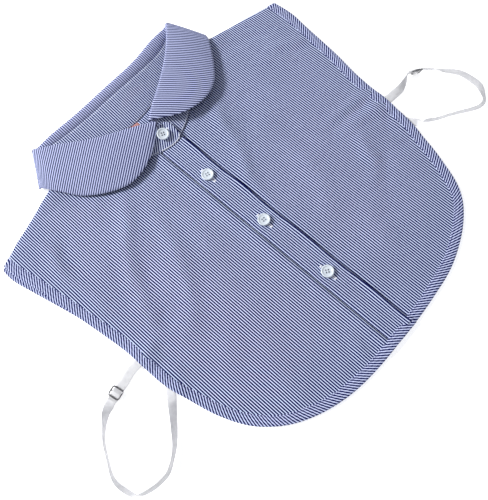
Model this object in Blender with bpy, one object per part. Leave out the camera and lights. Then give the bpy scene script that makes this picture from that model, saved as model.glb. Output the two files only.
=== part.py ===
"""Detachable shirt collar: a half shirt of striped cotton, laid flat with its front up.

Frame: X across the garment, Y along the centre front towards the neck, Z up.
The garment lies on the plane z = 0 and its origin is on its centre front.
All sizes in the tables are millimetres.
"""
import math

import bpy
from mathutils import Matrix, Vector
from mathutils.geometry import delaunay_2d_cdt

MM = 0.001

# Driving dimensions, in millimetres.
SEAM_GAP = 0.3            # clear space between two pieces that are sewn together
NECK_CLEAR = 1.2          # clear space on the plan between the panels and the sloping stand
STAND_CLEAR = 0.7         # clear space between the stand and the fall
CLOTH = 1.0               # thickness of a panel
FRONT_LEVEL = 1.5         # underside of the fronts, over the back and its binding
BINDING_WIDTH = 8.6
BACK_BINDING = 1.2        # thickness of the binding round the back
FRONT_BINDING = 1.4       # thickness of the binding round a front
PLACKET_HALF = 12.0       # half the width of the placket band
LEFT_NECK_END = 88.0      # where the placket's seam meets the stand
PLACKET_LEVEL = 2.8       # underside of the placket band, over the right front
PLACKET_THICK = 1.6
LAP_LEVEL = 3.2           # underside of the left binding where it laps over the right one
COLLAR_THICK = 1.2
NECK_RISE = 1.7           # the panels ride over the turned-down collar behind them
NECK_SLOPE = (10.0, 26.0) # distances from the collar's hidden edge between which that rise fades
TAIL_RISE = 1.45          # the fronts ride over the sewn-in ends of the straps
TAIL_SLOPE = (6.0, 18.0)  # distances from a strap's end between which that rise fades
SEAM_CLIMB = (-26.0, -14.0)   # stretch of X in which the left front climbs to the placket
LAP_CLIMB = (-28.0, -15.0)    # stretch of X in which the left binding climbs over the right one
STRAP_WIDTH = 8.0
STRAP_THICK = 1.0
BUTTON_DIAMETER = 11.4
BUTTON_THICK = 2.4
BUTTON_SIDES = 20
HOLE_RADIUS = 0.75
HOLE_PLACE = 1.5          # distance of a button's holes from its middle
SLIDER_LENGTH = 9.5
SLIDER_WIDTH = 11.0
SLIDER_THICK = 1.3
SLIDER_BAR = 1.4          # width of the slider's frame and of its middle bar
EDGE_SHARE = 0.82         # a binding's thickness at its edges, as a share of its middle's
UNDER_STEP = 1.0          # how far the right front's free edge runs on past the stand's tab
CORNER_CLEAR = 2.0        # clear space between a square corner and the smooth points beside it
OUTLINE_STEP = 7.0        # spacing of points along a cloth edge
COARSE_GRID = 26.0        # spacing of points inside a flat stretch of cloth
FINE_GRID = 8.0           # spacing where the cloth rises over something
COARSE_CLEAR = 7.8        # clear space between the edge and the coarse grid's points
FINE_CLEAR = 4.8          # clear space between the edge and the fine grid's points
FLAT_WITHIN = 0.02        # a rise under this counts as flat

# Outer edge of the left front, from the hem's centre round to the shoulder tip.
# peek: how far the back's edge shows beyond it.
LEFT_EDGE = [
    # x, y, peek
    (14, -178, 0.0),
    (-6, -178, 0.0),
    (-35, -178, 0.0),
    (-64, -175, 0.0),
    (-91, -167, 0.0),
    (-116, -153, 0.0),
    (-136, -132, 0.0),
    (-148, -107, 0.0),
    (-155, -80, 0.0),
    (-160, -55, 0.0),
    (-161, -17, 0.0),
    (-164, 9, 0.0),
    (-168, 38, 0.4),
    (-174, 77, 3.4),
    (-179, 103, 4.2),
    (-180, 118, 3.0),
]

# Outer edge of the right front, from beside the centre front round to the shoulder tip.
RIGHT_EDGE = [
    # x, y, peek
    (-12, -178, 0.0),
    (8, -178, 0.0),
    (40, -176, 0.0),
    (74, -171, 0.0),
    (108, -157, 0.0),
    (132, -137, 0.0),
    (146, -107, 0.0),
    (156, -73, 0.0),
    (162, -40, 0.0),
    (166, 2, 0.0),
    (172, 36, 0.0),
    (177, 75, 0.0),
    (180, 97, 0.0),
    (179, 118, 0.0),
]

# Shoulder edges, from the tip to the neck corner.
LEFT_SHOULDER = [(-180, 118), (-160, 125), (-139, 131), (-107, 140), (-76, 149)]
RIGHT_SHOULDER = [(179, 118), (156, 125), (136, 131), (107, 138), (76, 149)]

# Upper end of the placket band, where the stand's neck seam crosses it.
BAND_TOP = [(12, 84), (9, 84), (-1, 84.5), (-6, 86), (-12, 88)]

LABEL_OUTLINE = [(-21, 118.5), (-4.5, 117), (-4, 128), (-20.5, 130)]

# The collar, section by section round the neck. Each section runs from the neck seam
# up the stand, round the roll and down the fall to its outer edge.
# turn: which way the fall lies, 0 on top of the fronts, 90 outwards, 180 underneath.
# roll: radius of the roll.  seam: where the stand ends, as a share of its straight part.
# sag: how far the stand dips.  crown: how far the fall bulges.
COLLAR = [
    # place, neck x y z, fold x y z, edge x y z, turn, roll, seam, sag, crown
    ("left tip", -1, 85.5, 4.2, 5, 110, 12.0, -2, 103.5, 10.6, 0, 1.5, 0.92, 0.0, 0.2),
    ("left front", -13, 89.5, 4.2, -10, 120, 12.4, -26, 90, 8.0, 0, 1.6, 0.92, 0.0, 0.9),
    ("left leaf", -27, 97, 4.0, -28, 130.5, 12.8, -50, 87, 6.8, 0, 1.6, 0.88, 0.0, 1.2),
    ("left middle", -44, 111, 4.0, -47, 142.5, 13.2, -70, 96, 6.2, 0, 1.6, 0.9, 0.0, 1.3),
    ("left side", -60, 130, 4.6, -67, 159, 13.0, -88, 112, 5.5, 0, 1.7, 0.92, 0.0, 1.2),
    ("left shoulder", -69.5, 145, 5.4, -81, 171, 11.6, -99, 130, 6.4, 15, 1.8, 0.92, 0.0, 1.0),
    ("left crease top", -73, 151.5, 5.4, -86.5, 177, 9.8, -107, 144.5, 6.0, 50, 1.9, 0.88, 0.0, 0.6),
    ("left crease", -74, 153, 3.9, -88, 178, 7.5, -109.5, 148, 3.6, 90, 2.0, 0.86, 0.0, 0.0),
    ("left crease low", -72.5, 153, 2.8, -85.5, 178.5, 5.2, -107.5, 148.5, 1.3, 135, 2.4, 0.84, 0.0, 0.0),
    ("left back", -60, 146.5, 2.4, -66.5, 178.5, 4.9, -88, 143.5, 0.75, 180, 4.0, 0.76, 0.0, 0.0),
    ("left quarter", -33, 134.5, 2.4, -35, 175.5, 6.0, -44, 133, 0.75, 180, 5.2, 0.8, 0.0, 0.0),
    ("centre back", 0, 129, 2.4, 0, 174.5, 6.7, 0, 127, 0.75, 180, 5.9, 0.82, 0.0, 0.0),
    ("right quarter", 33, 134.5, 2.4, 36, 174.5, 6.0, 44, 133, 0.75, 180, 5.2, 0.76, 0.0, 0.0),
    ("right back", 60, 146.5, 2.4, 66, 179, 4.9, 86, 144, 0.75, 180, 4.0, 0.6, 0.0, 0.0),
    ("right crease low", 72.5, 153, 2.8, 85, 179.5, 5.2, 104, 145.5, 1.3, 135, 2.4, 0.7, 0.0, 0.0),
    ("right crease", 74, 153, 3.9, 89, 179.5, 7.5, 106, 144.5, 3.8, 90, 2.0, 0.9, 0.0, 0.0),
    ("right crease top", 73, 151.5, 5.4, 88, 178.5, 10.0, 105, 140.5, 6.6, 50, 1.9, 0.9, 0.0, 0.6),
    ("right shoulder", 69.5, 145, 5.4, 81, 170.5, 12.0, 100.5, 132, 7.6, 15, 1.9, 0.88, 0.0, 1.0),
    ("right side", 60, 130, 4.6, 69, 158.5, 13.6, 87, 114.5, 8.8, 0, 2.0, 0.88, 0.0, 1.4),
    ("right middle", 48, 110, 4.0, 53, 146, 15.0, 71.5, 99.5, 10.2, 0, 2.1, 0.82, 0.0, 1.4),
    ("right leaf", 30.5, 96, 3.6, 34, 134, 15.0, 53, 93.5, 11.4, 0, 2.2, 0.78, 0.0, 1.2),
    ("right front", 14.5, 89, 2.8, 14.5, 124, 13.4, 29, 98, 12.4, 0, 2.0, 0.8, 0.8, 0.6),
    ("right tip", 3.5, 86, 1.9, 3, 117, 11.6, 7, 113, 12.6, 0, 1.7, 0.84, 1.4, 0.1),
]
LAYERED_TURN = 60         # sections up to this turn are sewn to a front, the others to the back
SPANS = 3                 # smooth sections between two rows of the table

# The stand runs on past each leaf to carry the button and the buttonhole.
LEFT_TAB = [
    # neck x y z, top x y z
    (12, 88.5, 6.0, 14, 100, 9.4),
    (9, 85.5, 5.2, 13, 104, 10.0),
    (4.5, 85, 4.6, 9.5, 106.5, 10.2),
]
RIGHT_TAB = [
    (-4, 86.5, 1.8, -5, 110.5, 5.4),
    (-9, 88, 1.8, -10.5, 108, 4.4),
    (-12, 91.5, 2.0, -12.5, 103, 3.4),
]

# Half of the line that the turned-down collar's hidden edge follows under the panels.
HIDDEN_FALL = [(0, 128), (25, 130.5), (50, 138), (72, 147), (88, 147), (110, 146)]

# Straps: centre line on the table. tilt: 0 lying flat, 90 standing on an edge.
# lift: height of the underside above the table.
LEFT_STRAP = [
    # x, y, tilt, lift
    (-154, -30, 0, 1.5),
    (-161, -29, 0, 1.5),
    (-170, -29, 0, 0.7),
    (-180, -31, 0, 0.1),
    (-187, -32, 0, 0.1),
    (-197, -34, 0, 0.1),
    (-202, -36, -22, 0.1),
    (-208, -39, -52, 0.1),
    (-215, -45, -80, 0.1),
    (-223, -53, -88, 0.1),
    (-231, -66, -90, 0.1),
    (-236, -75, -84, 0.1),
    (-238, -83, -74, 0.1),
    (-237, -91, -68, 0.1),
    (-235, -98, -74, 0.1),
    (-231, -102, -104, 0.1),
    (-224, -105, -112, 0.1),
    (-215, -107, -112, 0.1),
    (-206, -107, -110, 0.1),
    (-197, -103, -103, 0.1),
    (-188, -97, -110, 0.1),
    (-180, -89, -124, 0.1),
    (-172, -80, -136, 0.1),
    (-166, -73, -152, 0.7),
    (-162, -68, -175, 1.3),
    (-158, -63, -180, 1.5),
    (-154, -58, -180, 1.5),
]
RIGHT_STRAP = [
    (156, -31, 0, 1.5),
    (163, -33, 0, 1.5),
    (171, -34, 8, 0.7),
    (181, -35, 35, 0.2),
    (190, -33, 72, 1.2),
    (195, -31, 98, 2.1),
    (200, -33, 106, 2.2),
    (206, -37, 110, 2.2),
    (210, -41, 110, 1.7),
    (215, -46, 114, 0.7),
    (221, -53, 148, 0.1),
    (226, -60, 158, 0.1),
    (230, -68, 165, 0.1),
    (231, -78, 172, 0.1),
    (230, -87, 170, 0.1),
    (225, -94, 150, 0.1),
    (219, -100, 130, 0.1),
    (212, -101, 105, 0.1),
    (205, -98, 91, 0.1),
    (196, -92, 86, 0.1),
    (187, -86, 84, 0.1),
    (175, -79, 84, 0.2),
    (167, -72, 76, 0.4),
    (163, -68, 6, 1.3),
    (160, -64, 0, 1.5),
    (156, -58, 0, 1.5),
]
LEFT_SLIDER_AT = (-191, -33)
RIGHT_SLIDER_AT = (203, -35)

# Sewn-in ends of the straps, as lines on the plan.
TAILS = [
    (strap_rows[end][:2], strap_rows[beside][:2])
    for strap_rows in (LEFT_STRAP, RIGHT_STRAP)
    for end, beside in ((0, 1), (-1, -2))
]

# Placket buttons, down the centre front.
BUTTONS = [
    # name, x, y, turn of the holes in degrees
    ("button_upper", -1.0, 41.0, 28),
    ("button_middle", -0.5, -25.5, 40),
    ("button_lower", -0.5, -96.5, 12),
]
COLLAR_BUTTON = (1, 98, 8.9, 14, 20)   # x, y, underside, slope of the stand, turn of the holes


# ---------------------------------------------------------------- materials and meshes

def material(name, colour, roughness, metallic=0.0):
    """A plain Principled material."""
    made = bpy.data.materials.new(name)
    made.use_nodes = True
    shader = made.node_tree.nodes["Principled BSDF"]
    shader.inputs["Base Color"].default_value = (*colour, 1.0)
    shader.inputs["Roughness"].default_value = roughness
    shader.inputs["Metallic"].default_value = metallic
    return made


def add_object(name, points, faces, finish):
    """One named object from points in millimetres."""
    mesh = bpy.data.meshes.new(name)
    mesh.from_pydata([Vector(p) * MM for p in points], [], faces)
    mesh.materials.append(finish)
    mesh.shade_smooth()
    mesh.set_sharp_from_angle(angle=math.radians(40))
    made = bpy.data.objects.new(name, mesh)
    bpy.context.scene.collection.objects.link(made)
    return made


def wall(name, low, high, faces, finish):
    """A closed wall between two like surfaces; faces run anticlockwise seen from the high one."""
    count = len(low)
    directed = set()
    for face in faces:
        for a, b in zip(face, face[1:] + face[:1]):
            directed.add((a, b))
    solid = [tuple(index + count for index in face) for face in faces]
    solid += [tuple(reversed(face)) for face in faces]
    solid += [(a, b, b + count, a + count) for a, b in sorted(directed) if (b, a) not in directed]
    return add_object(name, list(low) + list(high), solid, finish)


def grid_faces(rows, columns):
    """Faces of a grid of points numbered row by row."""
    return [
        (r * columns + c, r * columns + c + 1, (r + 1) * columns + c + 1, (r + 1) * columns + c)
        for r in range(rows - 1)
        for c in range(columns - 1)
    ]


# ---------------------------------------------------------------- curves

def catmull(p0, p1, p2, p3, t):
    """A point between p1 and p2 on the smooth curve through four rows of numbers."""
    return tuple(
        0.5 * (2 * b + (c - a) * t + (2 * a - 5 * b + 4 * c - d) * t * t + (3 * b - a - 3 * c + d) * t ** 3)
        for a, b, c, d in zip(p0, p1, p2, p3)
    )


def smooth_rows(rows, counts):
    """Rows of numbers with counts[i] smooth steps from row i to the next."""
    padded = [rows[0]] + list(rows) + [rows[-1]]
    out = []
    for i, count in enumerate(counts):
        for step in range(count):
            out.append(catmull(*padded[i:i + 4], step / count))
    out.append(tuple(rows[-1]))
    return out


def smooth_edge(rows, step):
    """A smooth curve through the rows with a point about every step millimetres."""
    counts = [max(1, round(math.dist(a[:2], b[:2]) / step)) for a, b in zip(rows, rows[1:])]
    return smooth_rows(rows, counts)


def ramp(value, start, end):
    """0 before start, 1 after end, smooth between them."""
    t = min(1.0, max(0.0, (value - start) / (end - start)))
    return t * t * (3.0 - 2.0 * t)


def distance_to_line(x, y, line):
    """Distance on the plan from a point to a run of straight pieces."""
    best = 1e9
    for (ax, ay), (bx, by) in zip(line, line[1:]):
        dx, dy = bx - ax, by - ay
        share = ((x - ax) * dx + (y - ay) * dy) / (dx * dx + dy * dy)
        share = min(1.0, max(0.0, share))
        best = min(best, math.hypot(x - ax - share * dx, y - ay - share * dy))
    return best


# ---------------------------------------------------------------- heights of the flat layers

def neck_rise(x, y):
    """Rise of the panels over the collar's hidden edge."""
    return NECK_RISE * (1.0 - ramp(distance_to_line(abs(x), y, HIDDEN_FALL), *NECK_SLOPE))


def back_level(x, y):
    """Underside of the back."""
    return neck_rise(x, y)


def front_level(x, y):
    """Underside of both fronts and of their bindings."""
    near_tail = min(distance_to_line(x, y, tail) for tail in TAILS)
    return FRONT_LEVEL + neck_rise(x, y) + TAIL_RISE * (1.0 - ramp(near_tail, *TAIL_SLOPE))


def left_front_level(x, y):
    """The left front climbs to the placket's height at its seam."""
    return front_level(x, y) + (PLACKET_LEVEL - FRONT_LEVEL) * ramp(x, *SEAM_CLIMB)


def left_binding_level(x, y):
    """The left binding climbs over the right binding's end."""
    return front_level(x, y) + (LAP_LEVEL - FRONT_LEVEL) * ramp(x, *LAP_CLIMB)


def placket_level(x, y):
    """Underside of the placket band."""
    return PLACKET_LEVEL


# ---------------------------------------------------------------- panels and bindings

def inward(curve, width, last_direction, side):
    """The curve moved inwards by width; its last point moves along the shoulder."""
    out = []
    for i, point in enumerate(curve):
        before = curve[max(0, i - 1)]
        after = curve[min(len(curve) - 1, i + 1)]
        dx, dy = after[0] - before[0], after[1] - before[1]
        length = math.hypot(dx, dy)
        move_x, move_y = side * dy / length, -side * dx / length
        if i == len(curve) - 1:
            move_x, move_y = last_direction
        out.append((point[0] + move_x * width, point[1] + move_y * width))
    return out


def along(start, end):
    """Unit direction on the plan."""
    length = math.dist(start, end)
    return ((end[0] - start[0]) / length, (end[1] - start[1]) / length)


def inside(x, y, outline):
    """True where the point lies inside the outline."""
    odd = False
    for (ax, ay), (bx, by) in zip(outline, outline[1:] + outline[:1]):
        if (ay > y) != (by > y) and x < (bx - ax) * (y - ay) / (by - ay) + ax:
            odd = not odd
    return odd


def fill_points(outline, level, flat):
    """Points inside an outline, close together only where the cloth rises."""
    closed = outline + outline[:1]
    xs = [p[0] for p in outline]
    ys = [p[1] for p in outline]
    ratio = round(COARSE_GRID / FINE_GRID)
    out = []
    for i in range(int(min(xs) // FINE_GRID), int(max(xs) // FINE_GRID) + 1):
        for j in range(int(min(ys) // FINE_GRID), int(max(ys) // FINE_GRID) + 1):
            x, y = (i + 0.5) * FINE_GRID, (j + 0.5) * FINE_GRID
            coarse = i % ratio == 0 and j % ratio == 0
            rises = level(x, y) - flat > FLAT_WITHIN
            clear = FINE_CLEAR if rises else COARSE_CLEAR
            if (coarse or rises) and inside(x, y, outline) and distance_to_line(x, y, closed) > clear:
                out.append((x, y))
    return out


def panel(name, outline, level, thickness, finish, flat=0.0):
    """A cut piece of cloth: its outline filled, laid at its level, with its thickness."""
    points = [Vector(p) for p in outline + fill_points(outline, level, flat)]
    edges = [(i, (i + 1) % len(outline)) for i in range(len(outline))]
    plan, _, faces, *_ = delaunay_2d_cdt(points, edges, [], 1, 1e-6)
    faces = [tuple(face) for face in faces]
    a, b, c = (plan[index] for index in faces[0][:3])
    if (b - a).cross(c - a) < 0.0:
        faces = [tuple(reversed(face)) for face in faces]
    low = [(p.x, p.y, level(p.x, p.y)) for p in plan]
    high = [(x, y, z + thickness) for x, y, z in low]
    return wall(name, low, high, faces, finish)


def binding(name, outer, inner, level, thickness, side, finish):
    """A bias strip along an edge, a little rounded across."""
    shares = (0.0, 0.5, 1.0)
    low, high = [], []
    for (ox, oy, *_), (ix, iy) in zip(outer, inner):
        for share in shares:
            x, y = ox + (ix - ox) * share, oy + (iy - oy) * share
            base = level(x, y)
            low.append((x, y, base))
            rounded = EDGE_SHARE + (1.0 - EDGE_SHARE) * math.sin(math.pi * share)
            high.append((x, y, base + thickness * rounded))
    faces = grid_faces(len(outer), len(shares))
    if side < 0:
        faces = [tuple(reversed(face)) for face in faces]
    return wall(name, low, high, faces, finish)


# ---------------------------------------------------------------- the collar

def section_path(row):
    """Points of one collar section: (the stand's points, the fall's points)."""
    neck = Vector(row[0:3])
    fold = Vector(row[3:6])
    edge = Vector(row[6:9])
    turn, roll, seam, sag, crown = row[9:14]
    lead = fold - (neck + edge) / 2
    lead.z = 0.0
    lead.normalize()
    aside = Vector((-lead.y, lead.x, 0.0))
    if aside.dot(edge - neck) < 0.0:
        aside = -aside
    angle = math.radians(turn)
    normal = Vector((0.0, 0.0, 1.0)) * math.cos(angle) + aside * math.sin(angle)
    centre = fold - lead * roll
    bottom = centre - normal * roll
    top = centre + normal * roll

    def stand_point(share):
        point = neck.lerp(bottom, share)
        point.z -= sag * 4.0 * share * (1.0 - share)
        return point

    stand = [stand_point(seam * k / 4) for k in range(5)]
    past_seam = seam + STAND_CLEAR / (bottom - neck).length
    fall = [stand_point(past_seam)]
    for k in range(5):
        bend = math.pi * k / 4
        fall.append(centre - normal * roll * math.cos(bend) + lead * roll * math.sin(bend))
    for k in range(1, 5):
        share = k / 4
        fall.append(top.lerp(edge, share) + normal * crown * 4.0 * share * (1.0 - share))
    return stand, fall


def sheet_normals(rows):
    """Normals of a grid of points, from its neighbours."""
    out = []
    last_row = len(rows) - 1
    last_column = len(rows[0]) - 1
    for r, row in enumerate(rows):
        for c in range(len(row)):
            along_row = rows[min(r + 1, last_row)][c] - rows[max(r - 1, 0)][c]
            along_column = row[min(c + 1, last_column)] - row[max(c - 1, 0)]
            out.append(along_column.cross(along_row).normalized())
    return out


def collar_wall(name, rows, finish):
    """A wall of the collar's thickness on both sides of a grid of points."""
    normals = sheet_normals(rows)
    flat = [point for row in rows for point in row]
    half = COLLAR_THICK / 2
    low = [p - n * half for p, n in zip(flat, normals)]
    high = [p + n * half for p, n in zip(flat, normals)]
    return wall(name, low, high, grid_faces(len(rows), len(rows[0])), finish)


def tab_rows(table):
    """Sections of the stand beyond a leaf."""
    return [
        [Vector(row[0:3]).lerp(Vector(row[3:6]), k / 4) for k in range(5)]
        for row in table
    ]


def neck_edge(rows, low_turn, high_turn):
    """Where the panels meet the collar: its neck points, moved clear of the stand."""
    out = []
    for row in rows:
        if low_turn <= row[9] < high_turn:
            lead = Vector((row[3] - row[0], row[4] - row[1])).normalized()
            out.append((row[0] - lead.x * NECK_CLEAR, row[1] - lead.y * NECK_CLEAR))
    return out


# ---------------------------------------------------------------- straps, sliders and buttons

def strap_frames(table):
    """Centre, width direction and thickness direction along a strap."""
    rows = smooth_rows(table, [2] * (len(table) - 1))
    frames = []
    for i, (x, y, tilt, lift) in enumerate(rows):
        before, after = rows[max(0, i - 1)], rows[min(len(rows) - 1, i + 1)]
        forward = Vector((after[0] - before[0], after[1] - before[1], 0.0)).normalized()
        level_side = Vector((-forward.y, forward.x, 0.0))
        angle = math.radians(tilt)
        across = level_side * math.cos(angle) + Vector((0.0, 0.0, 1.0)) * math.sin(angle)
        face = forward.cross(across)
        reach = abs(math.sin(angle)) * STRAP_WIDTH / 2 + abs(math.cos(angle)) * STRAP_THICK / 2
        frames.append((Vector((x, y, lift + reach)), across, face))
    return frames


def strap(name, table, finish):
    """A flat ribbon of elastic."""
    low, high = [], []
    for centre, across, face in strap_frames(table):
        for side in (0.5, -0.5):
            middle = centre + across * STRAP_WIDTH * side
            low.append(middle - face * STRAP_THICK / 2)
            high.append(middle + face * STRAP_THICK / 2)
    return wall(name, low, high, grid_faces(len(low) // 2, 2), finish)


def slider(name, table, place, finish):
    """A small metal frame with two windows, on the strap's face."""
    window = (SLIDER_LENGTH - 3 * SLIDER_BAR) / 2
    centre, across, face = min(
        strap_frames(table), key=lambda frame: math.dist(frame[0][:2], place)
    )
    made = box_object(name, (SLIDER_LENGTH, SLIDER_WIDTH, SLIDER_THICK), finish)
    for side in (-1, 1):
        cutter_size = (window, SLIDER_WIDTH - 2 * SLIDER_BAR, SLIDER_THICK * 3)
        cutter = box_object(name + "_window", cutter_size, finish)
        cutter.location = Vector((side * (window + SLIDER_BAR) / 2, 0.0, 0.0)) * MM
        cutter.hide_render = True
        cutter.display_type = "WIRE"
        cutter.parent = made
        cut = made.modifiers.new("window", "BOOLEAN")
        cut.operation = "DIFFERENCE"
        cut.object = cutter
    forward = across.cross(face)
    place_matrix = Matrix((forward, across, face)).transposed().to_4x4()
    place_matrix.translation = (centre + face * (STRAP_THICK / 2 + 2 * SEAM_GAP + SLIDER_THICK / 2)) * MM
    made.matrix_world = place_matrix
    return made


def box_object(name, size, finish):
    """A box about its own origin."""
    x, y, z = (value / 2 for value in size)
    points = [(sx * x, sy * y, sz * z) for sx in (-1, 1) for sy in (-1, 1) for sz in (-1, 1)]
    faces = [(0, 1, 3, 2), (4, 6, 7, 5), (0, 4, 5, 1), (2, 3, 7, 6), (0, 2, 6, 4), (1, 5, 7, 3)]
    return add_object(name, points, faces, finish)


def button(name, finish, hole_turn):
    """A turned button with a rim, a dished face and four holes, standing on its own origin."""
    radius = BUTTON_DIAMETER / 2
    profile = [
        # distance from the axis, height
        (0.0, 0.0),
        (radius * 0.80, 0.0),
        (radius * 0.97, BUTTON_THICK * 0.35),
        (radius, BUTTON_THICK * 0.6),
        (radius * 0.92, BUTTON_THICK),
        (radius * 0.74, BUTTON_THICK),
        (radius * 0.60, BUTTON_THICK * 0.72),
        (0.0, BUTTON_THICK * 0.72),
    ]
    around = BUTTON_SIDES
    points = [(0.0, 0.0, profile[0][1])]
    for r, z in profile[1:-1]:
        for k in range(around):
            angle = 2 * math.pi * k / around
            points.append((r * math.cos(angle), r * math.sin(angle), z))
    points.append((0.0, 0.0, profile[-1][1]))
    last = len(points) - 1
    rings = len(profile) - 2
    faces = []
    for k in range(around):
        n = (k + 1) % around
        faces.append((0, 1 + n, 1 + k))
        for ring in range(rings - 1):
            a, b = 1 + ring * around, 1 + (ring + 1) * around
            faces.append((a + k, a + n, b + n, b + k))
        top = 1 + (rings - 1) * around
        faces.append((top + k, top + n, last))
    made = add_object(name, points, faces, finish)
    for k in range(4):
        cutter = prism_object(name + "_hole", HOLE_RADIUS, BUTTON_THICK * 3, finish)
        angle = math.radians(hole_turn + 90 * k)
        cutter.location = Vector((HOLE_PLACE * math.cos(angle), HOLE_PLACE * math.sin(angle), 0.0)) * MM
        cutter.hide_render = True
        cutter.display_type = "WIRE"
        cutter.parent = made
        cut = made.modifiers.new("hole", "BOOLEAN")
        cut.operation = "DIFFERENCE"
        cut.object = cutter
    return made


def prism_object(name, radius, height, finish):
    """A six-sided cutter for a button's hole."""
    sides = 6
    points = []
    for z in (-height / 2, height / 2):
        for k in range(sides):
            angle = 2 * math.pi * k / sides
            points.append((radius * math.cos(angle), radius * math.sin(angle), z))
    faces = [tuple(reversed(range(sides))), tuple(range(sides, 2 * sides))]
    faces += [(k, (k + 1) % sides, sides + (k + 1) % sides, sides + k) for k in range(sides)]
    return add_object(name, points, faces, finish)


# ---------------------------------------------------------------- the garment

def build():
    for item in list(bpy.data.objects):
        bpy.data.objects.remove(item, do_unlink=True)

    cotton = material("striped cotton", (0.28, 0.31, 0.48), 0.85)
    bias = material("striped bias binding", (0.27, 0.30, 0.47), 0.85)
    pearl = material("pearl button", (0.78, 0.82, 0.90), 0.3)
    elastic = material("white elastic", (0.82, 0.83, 0.84), 0.8)
    metal = material("slider metal", (0.45, 0.45, 0.46), 0.3, 1.0)
    coral = material("coral label", (0.75, 0.25, 0.2), 0.8)

    # Edges, bindings and where the panels meet them.
    left_edge = smooth_edge(LEFT_EDGE, OUTLINE_STEP)
    right_edge = smooth_edge(RIGHT_EDGE, OUTLINE_STEP)
    left_shoulder = along(LEFT_SHOULDER[0], LEFT_SHOULDER[1])
    right_shoulder = along(RIGHT_SHOULDER[0], RIGHT_SHOULDER[1])
    left_inner = inward(left_edge, BINDING_WIDTH, left_shoulder, 1)
    right_inner = inward(right_edge, BINDING_WIDTH, right_shoulder, -1)
    left_cut = inward(left_edge, BINDING_WIDTH + SEAM_GAP, left_shoulder, 1)
    right_cut = inward(right_edge, BINDING_WIDTH + SEAM_GAP, right_shoulder, -1)

    # The back's edge: both fronts' edges in one line, moved out where it shows.
    left_half = [row for row in left_edge if row[0] < 0.0]
    right_half = [row for row in right_edge if row[0] > 0.0]
    peeks = inward(left_half, 1.0, (0.0, 0.0), 1)
    left_back_edge = [
        (row[0] - (peek[0] - row[0]) * row[2], row[1] - (peek[1] - row[1]) * row[2])
        for row, peek in zip(left_half, peeks)
    ]
    back_edge = left_back_edge[::-1] + [row[:2] for row in right_half]

    def back_inward(width):
        moved = inward(back_edge, width, right_shoulder, -1)
        moved[0] = (
            back_edge[0][0] + left_shoulder[0] * width,
            back_edge[0][1] + left_shoulder[1] * width,
        )
        return moved

    # The collar's sections.
    table = [row[1:] for row in COLLAR]
    sections = smooth_rows(table, [SPANS] * (len(table) - 1))
    middle = len(sections) // 2
    neck_left = neck_edge(sections[:middle], 0, LAYERED_TURN)
    neck_right = neck_edge(sections[middle:], 0, LAYERED_TURN)
    neck_back = neck_edge(sections, LAYERED_TURN, 181)

    # Back.
    back_outline = back_inward(BINDING_WIDTH + SEAM_GAP)
    back_outline += RIGHT_SHOULDER[1:] + neck_back[::-1] + LEFT_SHOULDER[:0:-1]
    panel("back_panel", back_outline, back_level, CLOTH, cotton)
    binding("binding_back", back_edge, back_inward(BINDING_WIDTH), back_level, BACK_BINDING, -1, bias)

    # Left front, which ends at the placket's seam.
    seam_x = -PLACKET_HALF - SEAM_GAP
    left_outline = [p for p in left_cut if p[0] < seam_x - CORNER_CLEAR] + LEFT_SHOULDER[1:]
    left_neck = [p for p in neck_left[::-1] if p[0] < seam_x - CORNER_CLEAR / 2]
    hem_y = max(y for x, y in left_inner + right_inner if abs(x) < PLACKET_HALF + CORNER_CLEAR) + SEAM_GAP
    left_outline = [(seam_x, hem_y)] + left_outline + left_neck + [(seam_x, LEFT_NECK_END)]
    panel("left_front", left_outline, left_front_level, CLOTH, cotton, FRONT_LEVEL)
    binding("binding_front_left", left_edge, left_inner, left_binding_level, FRONT_BINDING, 1, bias)

    # Right front, which runs on under the placket band.
    under_x = seam_x + 2 * SEAM_GAP
    under_neck = [(row[0], row[1] - NECK_CLEAR) for row in RIGHT_TAB if row[0] > under_x]
    right_outline = [p for p in right_cut if p[0] > under_x + CORNER_CLEAR] + RIGHT_SHOULDER[1:]
    right_outline = [(under_x, hem_y)] + right_outline + neck_right + under_neck
    right_outline += [(under_x, under_neck[-1][1] + UNDER_STEP)]
    panel("right_front", right_outline, front_level, CLOTH, cotton, FRONT_LEVEL)
    binding("binding_front_right", right_edge, right_inner, front_level, FRONT_BINDING, -1, bias)

    # Placket band, over the right front, from the neck seam to the hem binding.
    band_outline = [(-PLACKET_HALF, hem_y), (PLACKET_HALF, hem_y)] + BAND_TOP
    panel("placket_band", band_outline, placket_level, PLACKET_THICK, cotton, PLACKET_LEVEL)

    # Collar: the stand with its two tabs, and the fall.
    paths = [section_path(row) for row in sections]
    stand_rows = tab_rows(LEFT_TAB) + [path[0] for path in paths] + tab_rows(RIGHT_TAB)
    collar_wall("collar_stand", stand_rows, cotton)
    collar_wall("collar_fall", [path[1] for path in paths], cotton)

    # Label, lying on the inside of the back just under the neck seam.
    def label_level(x, y):
        return back_level(x, y) + CLOTH + SEAM_GAP

    panel("neck_label", LABEL_OUTLINE, label_level, CLOTH, coral)

    # Buttons.
    for name, x, y, hole_turn in BUTTONS:
        made = button(name, pearl, hole_turn)
        made.location = Vector((x, y, PLACKET_LEVEL + PLACKET_THICK + SEAM_GAP)) * MM
    x, y, base, slope, hole_turn = COLLAR_BUTTON
    made = button("button_collar", pearl, hole_turn)
    made.location = Vector((x, y, base)) * MM
    made.rotation_euler = (math.radians(slope), 0.0, 0.0)

    # Straps and their sliders.
    strap("strap_left", LEFT_STRAP, elastic)
    strap("strap_right", RIGHT_STRAP, elastic)
    slider("slider_left", LEFT_STRAP, LEFT_SLIDER_AT, metal)
    slider("slider_right", RIGHT_STRAP, RIGHT_SLIDER_AT, metal)


build()
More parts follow.
